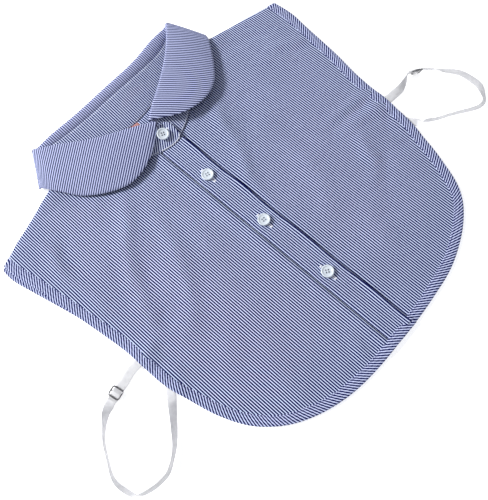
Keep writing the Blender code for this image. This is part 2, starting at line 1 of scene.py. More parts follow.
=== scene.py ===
"""Detachable shirt collar: a half shirt of striped cotton, laid flat with its front up.

X runs across the garment, Y along the centre front towards the neck and Z up.
The sizes written here are millimetres; MM turns them into the scene's metres.
"""
import math
import random

import bpy
from mathutils import Matrix, Vector
from mathutils.geometry import delaunay_2d_cdt


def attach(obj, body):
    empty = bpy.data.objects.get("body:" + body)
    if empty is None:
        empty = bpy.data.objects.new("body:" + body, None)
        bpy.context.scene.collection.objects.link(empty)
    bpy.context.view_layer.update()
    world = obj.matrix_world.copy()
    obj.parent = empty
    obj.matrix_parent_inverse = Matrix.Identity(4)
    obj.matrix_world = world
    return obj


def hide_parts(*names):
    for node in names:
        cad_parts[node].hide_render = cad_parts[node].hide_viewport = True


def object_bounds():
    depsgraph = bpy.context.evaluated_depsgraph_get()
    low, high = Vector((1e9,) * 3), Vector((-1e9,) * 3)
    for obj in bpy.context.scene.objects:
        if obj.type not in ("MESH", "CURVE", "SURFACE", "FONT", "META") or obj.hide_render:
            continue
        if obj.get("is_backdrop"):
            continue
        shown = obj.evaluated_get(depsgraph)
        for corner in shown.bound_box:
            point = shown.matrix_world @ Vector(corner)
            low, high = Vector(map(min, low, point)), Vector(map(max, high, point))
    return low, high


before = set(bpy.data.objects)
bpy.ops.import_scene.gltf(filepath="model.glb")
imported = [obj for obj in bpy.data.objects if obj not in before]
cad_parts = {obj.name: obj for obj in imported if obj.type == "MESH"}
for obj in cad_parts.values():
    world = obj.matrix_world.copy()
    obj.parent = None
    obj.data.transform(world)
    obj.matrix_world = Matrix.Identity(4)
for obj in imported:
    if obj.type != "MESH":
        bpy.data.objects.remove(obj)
cad_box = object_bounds()
MM = 0.001


# ---------------------------------------------------------------- camera
# The camera is held over the left side of the hem and looks down across the garment,
# turned so that the centre front runs from the upper left to the lower right.

camera_lens = bpy.data.cameras.new("camera")
camera = bpy.data.objects.new("camera", camera_lens)
bpy.context.scene.collection.objects.link(camera)
camera_lens.sensor_width = 36.0
camera_lens.lens = 44.64
camera_right = Vector((0.66595, -0.7444, -0.04886))
camera_ahead = Vector((0.1992, 0.24056, -0.94997))
camera_up = camera_right.cross(camera_ahead)
camera_place = Matrix((camera_right, camera_up, -camera_ahead)).transposed().to_4x4()
camera_place.translation = Vector((-138.06, -158.4, 509.27)) * MM
camera.matrix_world = camera_place
bpy.context.scene.camera = camera


# ---------------------------------------------------------------- table and light
# A white table top that is lit faintly from within, one broad lamp on the left beyond
# the neck that throws soft shadows towards the hem, and a pale room all round.

GROUND = 3.0              # half a side of the table top, in metres
UNDER = 0.0004            # how far below the garment the table top lies, in metres

table_mesh = bpy.data.meshes.new("table_top")
table_corners = [(-GROUND, -GROUND), (GROUND, -GROUND), (GROUND, GROUND), (-GROUND, GROUND)]
table_mesh.from_pydata([(x, y, -UNDER) for x, y in table_corners], [], [(0, 1, 2, 3)])
table_top = bpy.data.objects.new("table_top", table_mesh)
bpy.context.scene.collection.objects.link(table_top)
table_white = bpy.data.materials.new("table_white")
table_white.use_nodes = True
table_inputs = table_white.node_tree.nodes["Principled BSDF"].inputs
table_inputs["Base Color"].default_value = (0.93, 0.93, 0.93, 1.0)
table_inputs["Roughness"].default_value = 0.9
table_inputs["Emission Color"].default_value = (1.0, 1.0, 1.0, 1.0)
table_inputs["Emission Strength"].default_value = 0.58
table_mesh.materials.append(table_white)
table_top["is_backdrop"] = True

window_place = Vector((-1.08, 1.54, 1.42))
window = bpy.data.lights.new("window", "AREA")
window.size = 0.6
window.energy = 64.0
window_lamp = bpy.data.objects.new("window", window)
window_lamp.location = window_place
window_lamp.rotation_mode = "QUATERNION"
window_lamp.rotation_quaternion = (-window_place).to_track_quat("-Z", "Y")
bpy.context.scene.collection.objects.link(window_lamp)

room = bpy.data.worlds.new("room")
room.use_nodes = True
room.node_tree.nodes["Background"].inputs["Color"].default_value = (0.95, 0.96, 1.0, 1.0)
room.node_tree.nodes["Background"].inputs["Strength"].default_value = 0.46
bpy.context.scene.world = room
bpy.context.scene.view_settings.view_transform = "Standard"


# ---------------------------------------------------------------- elastic straps
# White woven elastic, 8 mm wide, sewn in between the front and the back at each side.
# Each strap lies in a loose loop on the table, and it is doubled as far as its slider.

STRAP_WIDTH = 8.0
STRAP_SOLID = 1.0         # thickness of the strap's own solid
ELASTIC = 0.6             # thickness of the woven elastic
UP = Vector((0.0, 0.0, 1.0))

LEFT_STRAP = [
    # x, y, tilt of the elastic in degrees, height of its underside
    (-154, -30, 0, 1.5),
    (-161, -29, 0, 1.5),
    (-170, -29, 0, 0.7),
    (-180, -31, 0, 0.1),
    (-187, -32, 0, 0.1),
    (-197, -34, 0, 0.1),
    (-202, -36, -22, 0.1),
    (-208, -39, -52, 0.1),
    (-215, -45, -80, 0.1),
    (-223, -53, -88, 0.1),
    (-231, -66, -90, 0.1),
    (-236, -75, -84, 0.1),
    (-238, -83, -74, 0.1),
    (-237, -91, -68, 0.1),
    (-235, -98, -74, 0.1),
    (-231, -102, -104, 0.1),
    (-224, -105, -112, 0.1),
    (-215, -107, -112, 0.1),
    (-206, -107, -110, 0.1),
    (-197, -103, -103, 0.1),
    (-188, -97, -110, 0.1),
    (-180, -89, -124, 0.1),
    (-172, -80, -136, 0.1),
    (-166, -73, -152, 0.7),
    (-162, -68, -175, 1.3),
    (-158, -63, -180, 1.5),
    (-154, -58, -180, 1.5),
]
RIGHT_STRAP = [
    (156, -31, 0, 1.5),
    (163, -33, 0, 1.5),
    (171, -34, 8, 0.7),
    (181, -35, 35, 0.2),
    (190, -33, 72, 1.2),
    (195, -31, 98, 2.1),
    (200, -33, 106, 2.2),
    (206, -37, 110, 2.2),
    (210, -41, 110, 1.7),
    (215, -46, 114, 0.7),
    (221, -53, 148, 0.1),
    (226, -60, 158, 0.1),
    (230, -68, 165, 0.1),
    (231, -78, 172, 0.1),
    (230, -87, 170, 0.1),
    (225, -94, 150, 0.1),
    (219, -100, 130, 0.1),
    (212, -101, 105, 0.1),
    (205, -98, 91, 0.1),
    (196, -92, 86, 0.1),
    (187, -86, 84, 0.1),
    (175, -79, 84, 0.2),
    (167, -72, 76, 0.4),
    (163, -68, 6, 1.3),
    (160, -64, 0, 1.5),
    (156, -58, 0, 1.5),
]
LEFT_SLIDER_AT = (-191, -33)
RIGHT_SLIDER_AT = (203, -35)


def ramp(value, start, end):
    """0 before start, 1 after end, smooth between them."""
    t = min(1.0, max(0.0, (value - start) / (end - start)))
    return t * t * (3.0 - 2.0 * t)


def catmull(p0, p1, p2, p3, t):
    """A point between p1 and p2 on the smooth curve through four rows of numbers."""
    return tuple(
        0.5 * (2 * b + (c - a) * t + (2 * a - 5 * b + 4 * c - d) * t * t + (3 * b - a - 3 * c + d) * t ** 3)
        for a, b, c, d in zip(p0, p1, p2, p3)
    )


def smooth_rows(rows, steps):
    """Rows of numbers with steps[i] smooth steps from row i to the next."""
    padded = [rows[0]] + list(rows) + [rows[-1]]
    out = []
    for i, count in enumerate(steps):
        for step in range(count):
            out.append(catmull(*padded[i:i + 4], step / count))
    out.append(tuple(rows[-1]))
    return out


def grid_faces(rows, columns, ring=False):
    """Faces of a grid of points numbered row by row; a ring joins its last column to its first."""
    faces = []
    for r in range(rows - 1):
        low, high = r * columns, (r + 1) * columns
        for c in range(columns if ring else columns - 1):
            beside = (c + 1) % columns
            faces.append((low + c, low + beside, high + beside, high + c))
    return faces


def end_caps(count, sides):
    """The two faces that close a tube of count points."""
    return [tuple(reversed(range(sides))), tuple(range(count - sides, count))]


def moved_on(faces, start):
    """The same faces for points that are numbered from start on."""
    return [tuple(index + start for index in face) for face in faces]


def add_piece(name, points, faces, finish, cloth=None):
    """One piece from points in millimetres; cloth gives each point its place on the cut, in metres."""
    mesh = bpy.data.meshes.new(name)
    mesh.from_pydata([Vector(p) * MM for p in points], [], faces)
    mesh.materials.append(finish)
    if cloth:
        lay = mesh.uv_layers.new(name="cloth")
        for loop in mesh.loops:
            lay.uv[loop.index].vector = cloth[loop.vertex_index]
    mesh.shade_smooth()
    mesh.set_sharp_from_angle(angle=math.radians(55))
    made = bpy.data.objects.new(name, mesh)
    bpy.context.scene.collection.objects.link(made)
    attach(made, "root")
    return made


def new_finish(name, inputs):
    """A material and two short ways to build it.

    make(kind, {input: value or socket}, output, settings) adds a node and gives one output.
    dress({input: value or socket}) sets the inputs of the material's own shader.
    """
    finish = bpy.data.materials.new(name)
    finish.use_nodes = True
    tree = finish.node_tree

    def fill(node, values):
        for key, value in values.items():
            if isinstance(value, bpy.types.NodeSocket):
                tree.links.new(value, node.inputs[key])
            else:
                node.inputs[key].default_value = value

    def make(kind, values, output=0, **settings):
        node = tree.nodes.new("ShaderNode" + kind)
        for key, value in settings.items():
            setattr(node, key, value)
        fill(node, values)
        return node.outputs[output]

    def dress(values):
        fill(tree.nodes["Principled BSDF"], values)

    dress(inputs)
    return finish, make, dress


def wave(make, socket, period):
    """A sine along a socket; period is its length in metres."""
    turns = make("Math", {0: socket, 1: 2 * math.pi / period}, operation="MULTIPLY")
    return make("Math", {0: turns}, operation="SINE")


def woven_elastic():
    """White elastic with ribs along it and fine weft across."""
    finish, make, dress = new_finish("white_elastic", {
        "Roughness": 0.72,
        "Subsurface Weight": 0.5,
        "Subsurface Radius": (1.0, 1.0, 1.0),
        "Subsurface Scale": 0.0012,
    })
    place = make("UVMap", {}, uv_map="cloth")
    rib = wave(make, make("SeparateXYZ", {0: place}, "Y"), 0.0009)
    weft = wave(make, make("SeparateXYZ", {0: place}, "X"), 0.0006)
    weave = make("Math", {0: weft, 1: 0.35, 2: rib}, operation="MULTIPLY_ADD")
    uneven = make("TexNoise", {"Vector": place, "Scale": 260.0, "Detail": 3.0})
    shade = make("MapRange", {0: uneven, 1: 0.3, 2: 0.7})
    tint = make("MixRGB", {0: shade, 1: (0.69, 0.69, 0.71, 1.0), 2: (0.79, 0.79, 0.81, 1.0)})
    bump = make("Bump", {"Height": weave, "Strength": 0.45, "Distance": 0.00012})
    dress({"Base Color": tint, "Normal": bump})
    return finish


def strap_frames(table, steps):
    """Centre, width direction and thickness direction along a strap."""
    rows = smooth_rows(table, [steps] * (len(table) - 1))
    frames = []
    for i, (x, y, tilt, lift) in enumerate(rows):
        before, after = rows[max(0, i - 1)], rows[min(len(rows) - 1, i + 1)]
        forward = Vector((after[0] - before[0], after[1] - before[1], 0.0)).normalized()
        level_side = Vector((-forward.y, forward.x, 0.0))
        angle = math.radians(tilt)
        across = level_side * math.cos(angle) + UP * math.sin(angle)
        face = forward.cross(across)
        reach = abs(math.sin(angle)) * STRAP_WIDTH / 2 + abs(math.cos(angle)) * STRAP_SOLID / 2
        frames.append((Vector((x, y, lift + reach)), across, face))
    return frames


def ribbon(frames):
    """Points, faces and cloth places of a length of elastic with rounded edges."""
    half_width, half_thick = STRAP_WIDTH / 2, ELASTIC / 2
    profile = [(-half_width, 0.0), (-half_width + 0.1, 0.2), (-half_width + 0.4, half_thick)]
    profile += [(x, half_thick) for x in (-1.2, 1.2)]
    profile += [(-x, z) for x, z in profile[2::-1]]
    profile += [(-x, -z) for x, z in profile[1:-1]]
    points, cloth = [], []
    run = 0.0
    for i, (centre, across, face) in enumerate(frames):
        if i:
            run += (centre - frames[i - 1][0]).length
        for x, z in profile:
            points.append(centre + across * x + face * z)
            cloth.append((run * MM, x * MM))
    faces = grid_faces(len(frames), len(profile), ring=True) + end_caps(len(points), len(profile))
    return points, faces, cloth


def nearest_frame(frames, place):
    """Number of the frame nearest to a place on the plan."""
    return min(range(len(frames)), key=lambda i: math.dist(frames[i][0][:2], place))


SLIDER_LENGTH = 9.5
SLIDER_WIDTH = 11.0
SLIDER_WIRE = 1.3         # thickness of the slider's wire
SLIDER_GAP = 0.6          # clear space between the strap and the slider
WIRE_SIDES = 10


def doubled_layer(frames, at):
    """The strap's second layer: it lies on the first one and turns round the slider's middle bar."""
    layer = []
    slider_top = STRAP_SOLID / 2 + SLIDER_GAP + SLIDER_WIRE
    for i in range(at + 5):
        centre, across, face = frames[i]
        ahead = (centre - frames[at][0]).length * (1 if i > at else -1)
        rise = ELASTIC + 0.06 + (slider_top - 0.3) * (1.0 - ramp(abs(ahead), 0.7, 3.4))
        if ahead > 0.0:
            rise = max(0.1, rise - ahead * 0.25)
        layer.append((centre + face * rise + across * 0.55 * ramp(i, 1, 8), across, face))
    return layer


elastic_finish = woven_elastic()


def elastic_strap(name, table, slider_at):
    """A strap and its doubled part, in one piece."""
    frames = strap_frames(table, 6)
    at = nearest_frame(frames, slider_at)
    points, faces, cloth = ribbon(frames)
    more_points, more_faces, more_cloth = ribbon(doubled_layer(frames, at))
    faces += moved_on(more_faces, len(points))
    made = add_piece(name, points + more_points, faces, elastic_finish, cloth + more_cloth)
    return made, frames


strap_left, left_frames = elastic_strap("elastic_left", LEFT_STRAP, LEFT_SLIDER_AT)
strap_right, right_frames = elastic_strap("elastic_right", RIGHT_STRAP, RIGHT_SLIDER_AT)


# ---------------------------------------------------------------- strap sliders
# Small figure-eight frames of bent and polished steel wire, threaded on the straps.
# They grip the elastic by friction, so the strap's length can be set.

def polished_steel():
    """Bright wire with faint draw marks."""
    finish, make, dress = new_finish("polished_steel", {"Roughness": 0.24, "Metallic": 1.0})
    place = make("TexCoord", {}, "Object")
    marks = make("TexNoise", {"Vector": place, "Scale": 900.0, "Detail": 4.0})
    tint = make("MixRGB", {0: marks, 1: (0.15, 0.15, 0.16, 1.0), 2: (0.31, 0.31, 0.32, 1.0)})
    rough = make("MapRange", {0: marks, 1: 0.3, 2: 0.7, 3: 0.18, 4: 0.34})
    dress({"Base Color": tint, "Roughness": rough})
    return finish


def tube(path, radii, sides, closed=False):
    """Points and faces of a round bar along a path, with a radius at each of its points."""
    points = []
    count = len(path)
    for i, (point, radius) in enumerate(zip(path, radii)):
        before = path[i - 1] if closed or i else point
        after = path[(i + 1) % count] if closed or i < count - 1 else point
        ahead = (after - before).normalized()
        first = ahead.cross(UP)
        if first.length < 0.1:
            first = ahead.cross(Vector((1.0, 0.0, 0.0)))
        first.normalize()
        second = first.cross(ahead)
        for k in range(sides):
            angle = 2 * math.pi * k / sides
            points.append(point + (first * math.cos(angle) + second * math.sin(angle)) * radius)
    faces = grid_faces(count, sides, ring=True)
    if closed:
        last = (count - 1) * sides
        faces += [(last + k, last + (k + 1) % sides, (k + 1) % sides, k) for k in range(sides)]
    else:
        faces += end_caps(len(points), sides)
    return points, faces


def slider_frame(name, frames, slider_at, node):
    """A wire frame with a bar across its middle, on the strap's face."""
    radius = SLIDER_WIRE / 2
    long_half = SLIDER_LENGTH / 2 - radius
    wide_half = SLIDER_WIDTH / 2 - radius
    corner = 1.5
    path = []
    for side_x, side_y, start in ((1, 1, 0), (-1, 1, 90), (-1, -1, 180), (1, -1, 270)):
        for step in range(5):
            angle = math.radians(start + 22.5 * step)
            path.append(Vector((
                side_x * (long_half - corner) + corner * math.cos(angle),
                side_y * (wide_half - corner) + corner * math.sin(angle),
                0.0,
            )))
    points, faces = tube(path, [radius] * len(path), WIRE_SIDES, closed=True)
    bar = [Vector((0.0, wide_half * share, 0.0)) for share in (-1.0, -0.5, 0.0, 0.5, 1.0)]
    bar_points, bar_faces = tube(bar, [radius * 0.9] * len(bar), WIRE_SIDES)
    faces += moved_on(bar_faces, len(points))
    centre, across, face = frames[nearest_frame(frames, slider_at)]
    forward = across.cross(face)
    turn = Matrix((forward, across, face)).transposed()
    middle = centre + face * (STRAP_SOLID / 2 + SLIDER_GAP + radius)
    placed = [turn @ point + middle for point in points + bar_points]
    made = add_piece(name, placed, faces, steel_finish)
    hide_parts(node)
    return made


steel_finish = polished_steel()
slider_left = slider_frame("wire_slider_left", left_frames, LEFT_SLIDER_AT, "slider_left")
slider_right = slider_frame("wire_slider_right", right_frames, RIGHT_SLIDER_AT, "slider_right")

for strap, frames, slider, node in (
    (strap_left, left_frames, slider_left, "strap_left"),
    (strap_right, right_frames, slider_right, "strap_right"),
):
    route = [centre * MM for centre, across, face in frames]
    strap_length = sum((b - a).length for a, b in zip(route, route[1:]))
    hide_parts(node)
    tuple(route[0])
    [tuple(point) for point in route]


# ---------------------------------------------------------------- back panel
# One piece of the striped cotton, its stripes along the centre back.
# It lies under both fronts and shows inside the neck and along the left side.

CLOTH = 0.5               # thickness of one layer of cotton
FRONT_LEVEL = 1.5         # underside of the fronts, over the back and its binding
STRIPE_PITCH = 2.07       # one white and one navy stripe
BINDING_WIDTH = 8.6
TUCKED_IN = 5.0           # how far a panel's edge runs into its binding
NECK_RISE = 1.7           # the panels ride over the turned-down collar behind them
TAIL_RISE = 1.45          # the fronts ride over the sewn-in ends of the straps
BACK_MIDDLE = 0.6         # middle of the back's cloth, over the table
STRIPE_BLUR = 0.035       # softness of a stripe's edge, as a share of the pitch
EDGE_STEP = 2.2           # distance from point to point along a cut edge

# Outer edge of the left front, from the hem's centre round to the shoulder tip.
LEFT_EDGE = [
    # x, y, how far the back's edge shows beyond it
    (14, -178, 0.0),
    (-6, -178, 0.0),
    (-35, -178, 0.0),
    (-64, -175, 0.0),
    (-91, -167, 0.0),
    (-116, -153, 0.0),
    (-136, -132, 0.0),
    (-148, -107, 0.0),
    (-155, -80, 0.0),
    (-160, -55, 0.0),
    (-161, -17, 0.0),
    (-164, 9, 0.0),
    (-168, 38, 0.4),
    (-174, 77, 3.4),
    (-179, 103, 4.2),
    (-180, 118, 3.0),
]

# Outer edge of the right front, from beside the centre front round to the shoulder tip.
RIGHT_EDGE = [
    (-12, -178), (8, -178), (40, -176), (74, -171), (108, -157), (132, -137), (146, -107),
    (156, -73), (162, -40), (166, 2), (172, 36), (177, 75), (180, 97), (179, 118),
]

# Shoulder edges, from the tip to the neck corner.
LEFT_SHOULDER = [(-180, 118), (-160, 125), (-139, 131), (-107, 140), (-76, 149)]
RIGHT_SHOULDER = [(179, 118), (156, 125), (136, 131), (107, 138), (76, 149)]

# The back's neck edge, from the left corner to the right one.
BACK_NECK = [(-73, 152), (-60, 146), (-33, 134), (0, 128), (33, 134), (60, 146), (73, 152)]

# Half of the line that the turned-down collar's hidden edge follows under the panels.
HIDDEN_FALL = [(0, 128), (25, 130.5), (50, 138), (72, 147), (88, 147), (110, 146)]

# Sewn-in ends of the straps, as lines on the plan.
TAILS = [
    (strap[end][:2], strap[beside][:2])
    for strap in (LEFT_STRAP, RIGHT_STRAP)
    for end, beside in ((0, 1), (-1, -2))
]

# Creases of the back. A trough has a height below nothing; pull bunches the stripes beside it.
BACK_CREASES = [
    # start x y, end x y, bow, width, height, pull
    (-120.0, 60.0, -40.0, 20.0, 6.0, 9.0, 0.35, 0.5),
    (-130.0, -20.0, -70.0, -60.0, -5.0, 7.0, 0.4, 0.6),
    (-60.0, -100.0, 20.0, -130.0, 8.0, 8.0, 0.3, 0.5),
    (60.0, 80.0, 120.0, 20.0, 5.0, 8.0, 0.4, 0.6),
    (50.0, -20.0, 125.0, -50.0, -6.0, 7.0, 0.35, 0.5),
    (-20.0, 90.0, 10.0, 30.0, 4.0, 6.0, 0.25, 0.4),
]


def distance_to_line(x, y, line):
    """Distance on the plan from a point to a run of straight pieces."""
    best = 1e9
    for (ax, ay), (bx, by) in zip(line, line[1:]):
        dx, dy = bx - ax, by - ay
        share = ((x - ax) * dx + (y - ay) * dy) / (dx * dx + dy * dy)
        share = min(1.0, max(0.0, share))
        best = min(best, math.hypot(x - ax - share * dx, y - ay - share * dy))
    return best


def neck_rise(x, y):
    """Rise of the panels over the collar's hidden edge."""
    if y < 95.0:
        return 0.0
    return NECK_RISE * (1.0 - ramp(distance_to_line(abs(x), y, HIDDEN_FALL), 10.0, 26.0))


def creased(x, y, creases):
    """Height and sideways shift of the cloth that a table of creases gives at a point."""
    lift, shift = 0.0, 0.0
    for ax, ay, bx, by, bow, width, height, pull in creases:
        length = math.dist((ax, ay), (bx, by))
        run_x, run_y = (bx - ax) / length, (by - ay) / length
        share = ((x - ax) * run_x + (y - ay) * run_y) / length
        if -0.3 < share < 1.3:
            reach = ((y - ay) * run_x - (x - ax) * run_y - bow * 4.0 * share * (1.0 - share)) / width
            hill = math.exp(-reach * reach) * ramp(share, -0.3, 0.3) * (1.0 - ramp(share, 0.7, 1.3))
            lift += height * hill
            shift -= pull * reach * hill * run_y
    return lift, shift


def shoulder_drop(x, y, shoulder):
    """How far the cloth is pulled towards the other layer at the shoulder seam."""
    return 1.0 - ramp(distance_to_line(x, y, shoulder), 0.0, 3.2)


def smooth_edge(rows, step):
    """A smooth curve through the rows with a point about every step."""
    counts = [max(1, round(math.dist(a[:2], b[:2]) / step)) for a, b in zip(rows, rows[1:])]
    return smooth_rows(rows, counts)


def along(start, end):
    """Unit direction on the plan."""
    length = math.dist(start, end)
    return ((end[0] - start[0]) / length, (end[1] - start[1]) / length)


def inward(curve, width, last_direction, side):
    """The curve moved inwards by width; its last point moves along the shoulder."""
    out = []
    for i, point in enumerate(curve):
        before = curve[max(0, i - 1)]
        after = curve[min(len(curve) - 1, i + 1)]
        dx, dy = after[0] - before[0], after[1] - before[1]
        length = math.hypot(dx, dy)
        move_x, move_y = side * dy / length, -side * dx / length
        if i == len(curve) - 1:
            move_x, move_y = last_direction
        out.append((point[0] + move_x * width, point[1] + move_y * width))
    return out


def inside(x, y, outline):
    """True where the point lies inside the outline."""
    odd = False
    for (ax, ay), (bx, by) in zip(outline, outline[1:] + outline[:1]):
        if (ay > y) != (by > y) and x < (bx - ax) * (y - ay) / (by - ay) + ax:
            odd = not odd
    return odd


def cut_size(outline):
    """Width and length of a cut piece, in metres."""
    xs, ys = [p[0] for p in outline], [p[1] for p in outline]
    return ((max(xs) - min(xs)) * MM, (max(ys) - min(ys)) * MM)


def shell(name, points, faces, thickness, finish, cloth):
    """A sheet of points made into closed cloth of some thickness with a rounded edge."""
    draft = bpy.data.meshes.new("draft")
    draft.from_pydata(points, [], faces)
    normals = [vertex.normal.copy() for vertex in draft.vertices]
    points = [vertex.co.copy() for vertex in draft.vertices]
    bpy.data.meshes.remove(draft)
    directed = set()
    for face in faces:
        directed.update(zip(face, face[1:] + face[:1]))
    rim = [(a, b) for a, b in sorted(directed) if (b, a) not in directed]
    outwards = {}
    for a, b in rim:
        aside = (points[b] - points[a]).cross(normals[a]).normalized()
        for index in (a, b):
            outwards[index] = outwards.get(index, Vector()) + aside
    half = thickness / 2
    count = len(points)
    solid = [p - n * half for p, n in zip(points, normals)]
    solid += [p + n * half for p, n in zip(points, normals)]
    cloth = list(cloth) * 2
    middle = {}
    for index, aside in sorted(outwards.items()):
        middle[index] = len(solid)
        solid.append(points[index] + aside.normalized() * half * 0.9)
        cloth.append(cloth[index])
    closed = moved_on(faces, count) + [tuple(reversed(face)) for face in faces]
    for a, b in rim:
        closed.append((a, b, middle[b], middle[a]))
        closed.append((middle[a], middle[b], b + count, a + count))
    return add_piece(name, solid, closed, finish, cloth)


def panel(name, outline, spacing, surface, rolled=()):
    """A flat cut piece laid as cloth. surface(x, y) gives its middle's height and its shift.

    rolled holds more points beside an edge that rolls over.
    """
    xs, ys = [p[0] for p in outline], [p[1] for p in outline]
    near = {}
    for ax, ay in outline + list(rolled):
        for i in range(-1, 2):
            for j in range(-1, 2):
                near.setdefault((round(ax / spacing) + i, round(ay / spacing) + j), []).append((ax, ay))
    fill = list(rolled)
    row_step = spacing * 0.87
    for j in range(int(min(ys) // row_step), int(max(ys) // row_step) + 2):
        y = j * row_step
        for i in range(int(min(xs) // spacing) - 1, int(max(xs) // spacing) + 2):
            x = (i + 0.5 * (j % 2)) * spacing
            close = near.get((round(x / spacing), round(y / spacing)), ())
            if all(math.dist((x, y), p) > spacing * 0.55 for p in close) and inside(x, y, outline):
                fill.append((x, y))
    edges = [(i, (i + 1) % len(outline)) for i in range(len(outline))]
    plan, _, faces, *_ = delaunay_2d_cdt([Vector(p) for p in outline + fill], edges, [], 1, 1e-6)
    faces = [tuple(face) for face in faces]
    a, b, c = (plan[index] for index in faces[0][:3])
    if (b - a).cross(c - a) < 0.0:
        faces = [tuple(reversed(face)) for face in faces]
    points, cloth = [], []
    for x, y in plan:
        height, shift = surface(x, y)
        points.append(Vector((x, y, height)))
        cloth.append(((x + shift) * MM, y * MM))
    made = shell(name, points, faces, CLOTH, cotton, cloth)
    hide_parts(name.replace("cloth_", ""))
    cut_size(outline)


def striped_cotton(name, white_share, white, navy):
    """Yarn-dyed cotton: fine navy and white stripes along the cut's Y, plain weave, slight sheen."""
    finish, make, dress = new_finish(name, {
        "Roughness": 0.82,
        "Sheen Weight": 0.03,
        "Sheen Roughness": 0.4,
        "Specular IOR Level": 0.15,
    })
    place = make("UVMap", {}, uv_map="cloth")
    cut_x = make("SeparateXYZ", {0: place}, "X")
    cut_y = make("SeparateXYZ", {0: place}, "Y")
    wander = make("TexNoise", {"Vector": place, "Scale": 55.0, "Detail": 2.0})
    wander = make("MapRange", {0: wander, 3: -0.00016, 4: 0.00016})
    across = make("Math", {0: cut_x, 1: wander}, operation="ADD")
    across = make("Math", {0: across, 1: 1.0 / (STRIPE_PITCH * MM)}, operation="MULTIPLY")
    across = make("Math", {0: across, 1: 1.0}, operation="FLOORED_MODULO")
    across = make("Math", {0: across, 1: 0.5}, operation="SUBTRACT")
    across = make("Math", {0: across}, operation="ABSOLUTE")
    start, end = white_share / 2 - STRIPE_BLUR, white_share / 2 + STRIPE_BLUR
    dark = make("MapRange", {0: across, 1: start, 2: end}, interpolation_type="SMOOTHSTEP")
    slub = make("TexNoise", {"Vector": place, "Scale": 1400.0, "Detail": 0.0})
    slub = make("MapRange", {0: slub, 1: 0.3, 2: 0.7, 3: -0.02, 4: 0.02})
    dark = make("Math", {0: dark, 1: slub}, operation="ADD", use_clamp=True)
    yarn = make("MixRGB", {0: dark, 1: (*white, 1.0), 2: (*navy, 1.0)})
    cloud = make("TexNoise", {"Vector": place, "Scale": 24.0, "Detail": 3.0})
    cloud = make("MapRange", {0: cloud, 1: 0.3, 2: 0.7, 3: 0.95, 4: 1.03})
    tint = make("MixRGB", {0: 1.0, 1: yarn, 2: cloud}, blend_type="MULTIPLY")
    warp, weft = wave(make, cut_x, 0.00042), wave(make, cut_y, 0.00046)
    weave = make("Math", {0: warp, 1: weft}, operation="MULTIPLY")
    bump = make("Bump", {"Height": weave, "Strength": 0.2, "Distance": 0.00004})
    dress({"Base Color": tint, "Normal": bump})
    return finish


cotton = striped_cotton("striped_cotton", 0.375, (0.665, 0.755, 1.0), (0.002, 0.006, 0.095))

left_edge = smooth_edge(LEFT_EDGE, EDGE_STEP)
right_edge = smooth_edge(RIGHT_EDGE, EDGE_STEP)
left_shoulder = smooth_edge(LEFT_SHOULDER, EDGE_STEP)
right_shoulder = smooth_edge(RIGHT_SHOULDER, EDGE_STEP)
left_along = along(LEFT_SHOULDER[0], LEFT_SHOULDER[1])
right_along = along(RIGHT_SHOULDER[0], RIGHT_SHOULDER[1])

left_half = [row for row in left_edge if row[0] < 0.0]
right_half = [row for row in right_edge if row[0] > 0.0]
peeks = inward(left_half, 1.0, (0.0, 0.0), 1)
left_back_edge = [
    (row[0] - (peek[0] - row[0]) * row[2], row[1] - (peek[1] - row[1]) * row[2])
    for row, peek in zip(left_half, peeks)
]
back_edge = left_back_edge[::-1] + right_half


def back_inward(width):
    """The back's edge moved inwards, its two ends along the shoulders."""
    moved = inward(back_edge, width, right_along, -1)
    moved[0] = (back_edge[0][0] + left_along[0] * width, back_edge[0][1] + left_along[1] * width)
    return moved


def back_surface(x, y):
    """The back lies on the table and rises a little to the shoulder seams."""
    lift, shift = creased(x, y, BACK_CREASES)
    seam = max(shoulder_drop(x, y, LEFT_SHOULDER), shoulder_drop(x, y, RIGHT_SHOULDER))
    return neck_rise(x, y) + BACK_MIDDLE + lift + 0.25 * seam, shift


back_outline = back_inward(BINDING_WIDTH - TUCKED_IN) + right_shoulder[2:]
back_outline += smooth_edge(BACK_NECK, EDGE_STEP)[::-1] + left_shoulder[:1:-1]
panel("cloth_back_panel", back_outline, 3.2, back_surface)


# ---------------------------------------------------------------- fronts
# Two pieces of the same cotton, sewn to the back at the shoulders and laid on top of it.
# The right front runs on under the placket band; the left one is sewn to the band's edge.

PLACKET_HALF = 12.0       # half the width of the placket band
PLACKET_LEVEL = 2.8       # underside of the placket band, over the right front
LAP_LEVEL = 3.2           # underside of the left binding where it laps over the right one
LAP_START = -28.0         # x where the left front starts to climb to the lap
FRONT_SPACING = 2.3       # distance from point to point in the fronts
SEAM_PULL = 0.7           # how far each front is pulled down at its shoulder seam
LEFT_NECK = [(-13, 89), (-27, 96), (-44, 110), (-60, 129), (-70, 144), (-73, 152)]
RIGHT_NECK = [
    (73, 152), (70, 144), (60, 129), (48, 109), (30, 95),
    (14, 88), (4, 85), (-4, 86), (-9, 87), (-11.5, 90),
]

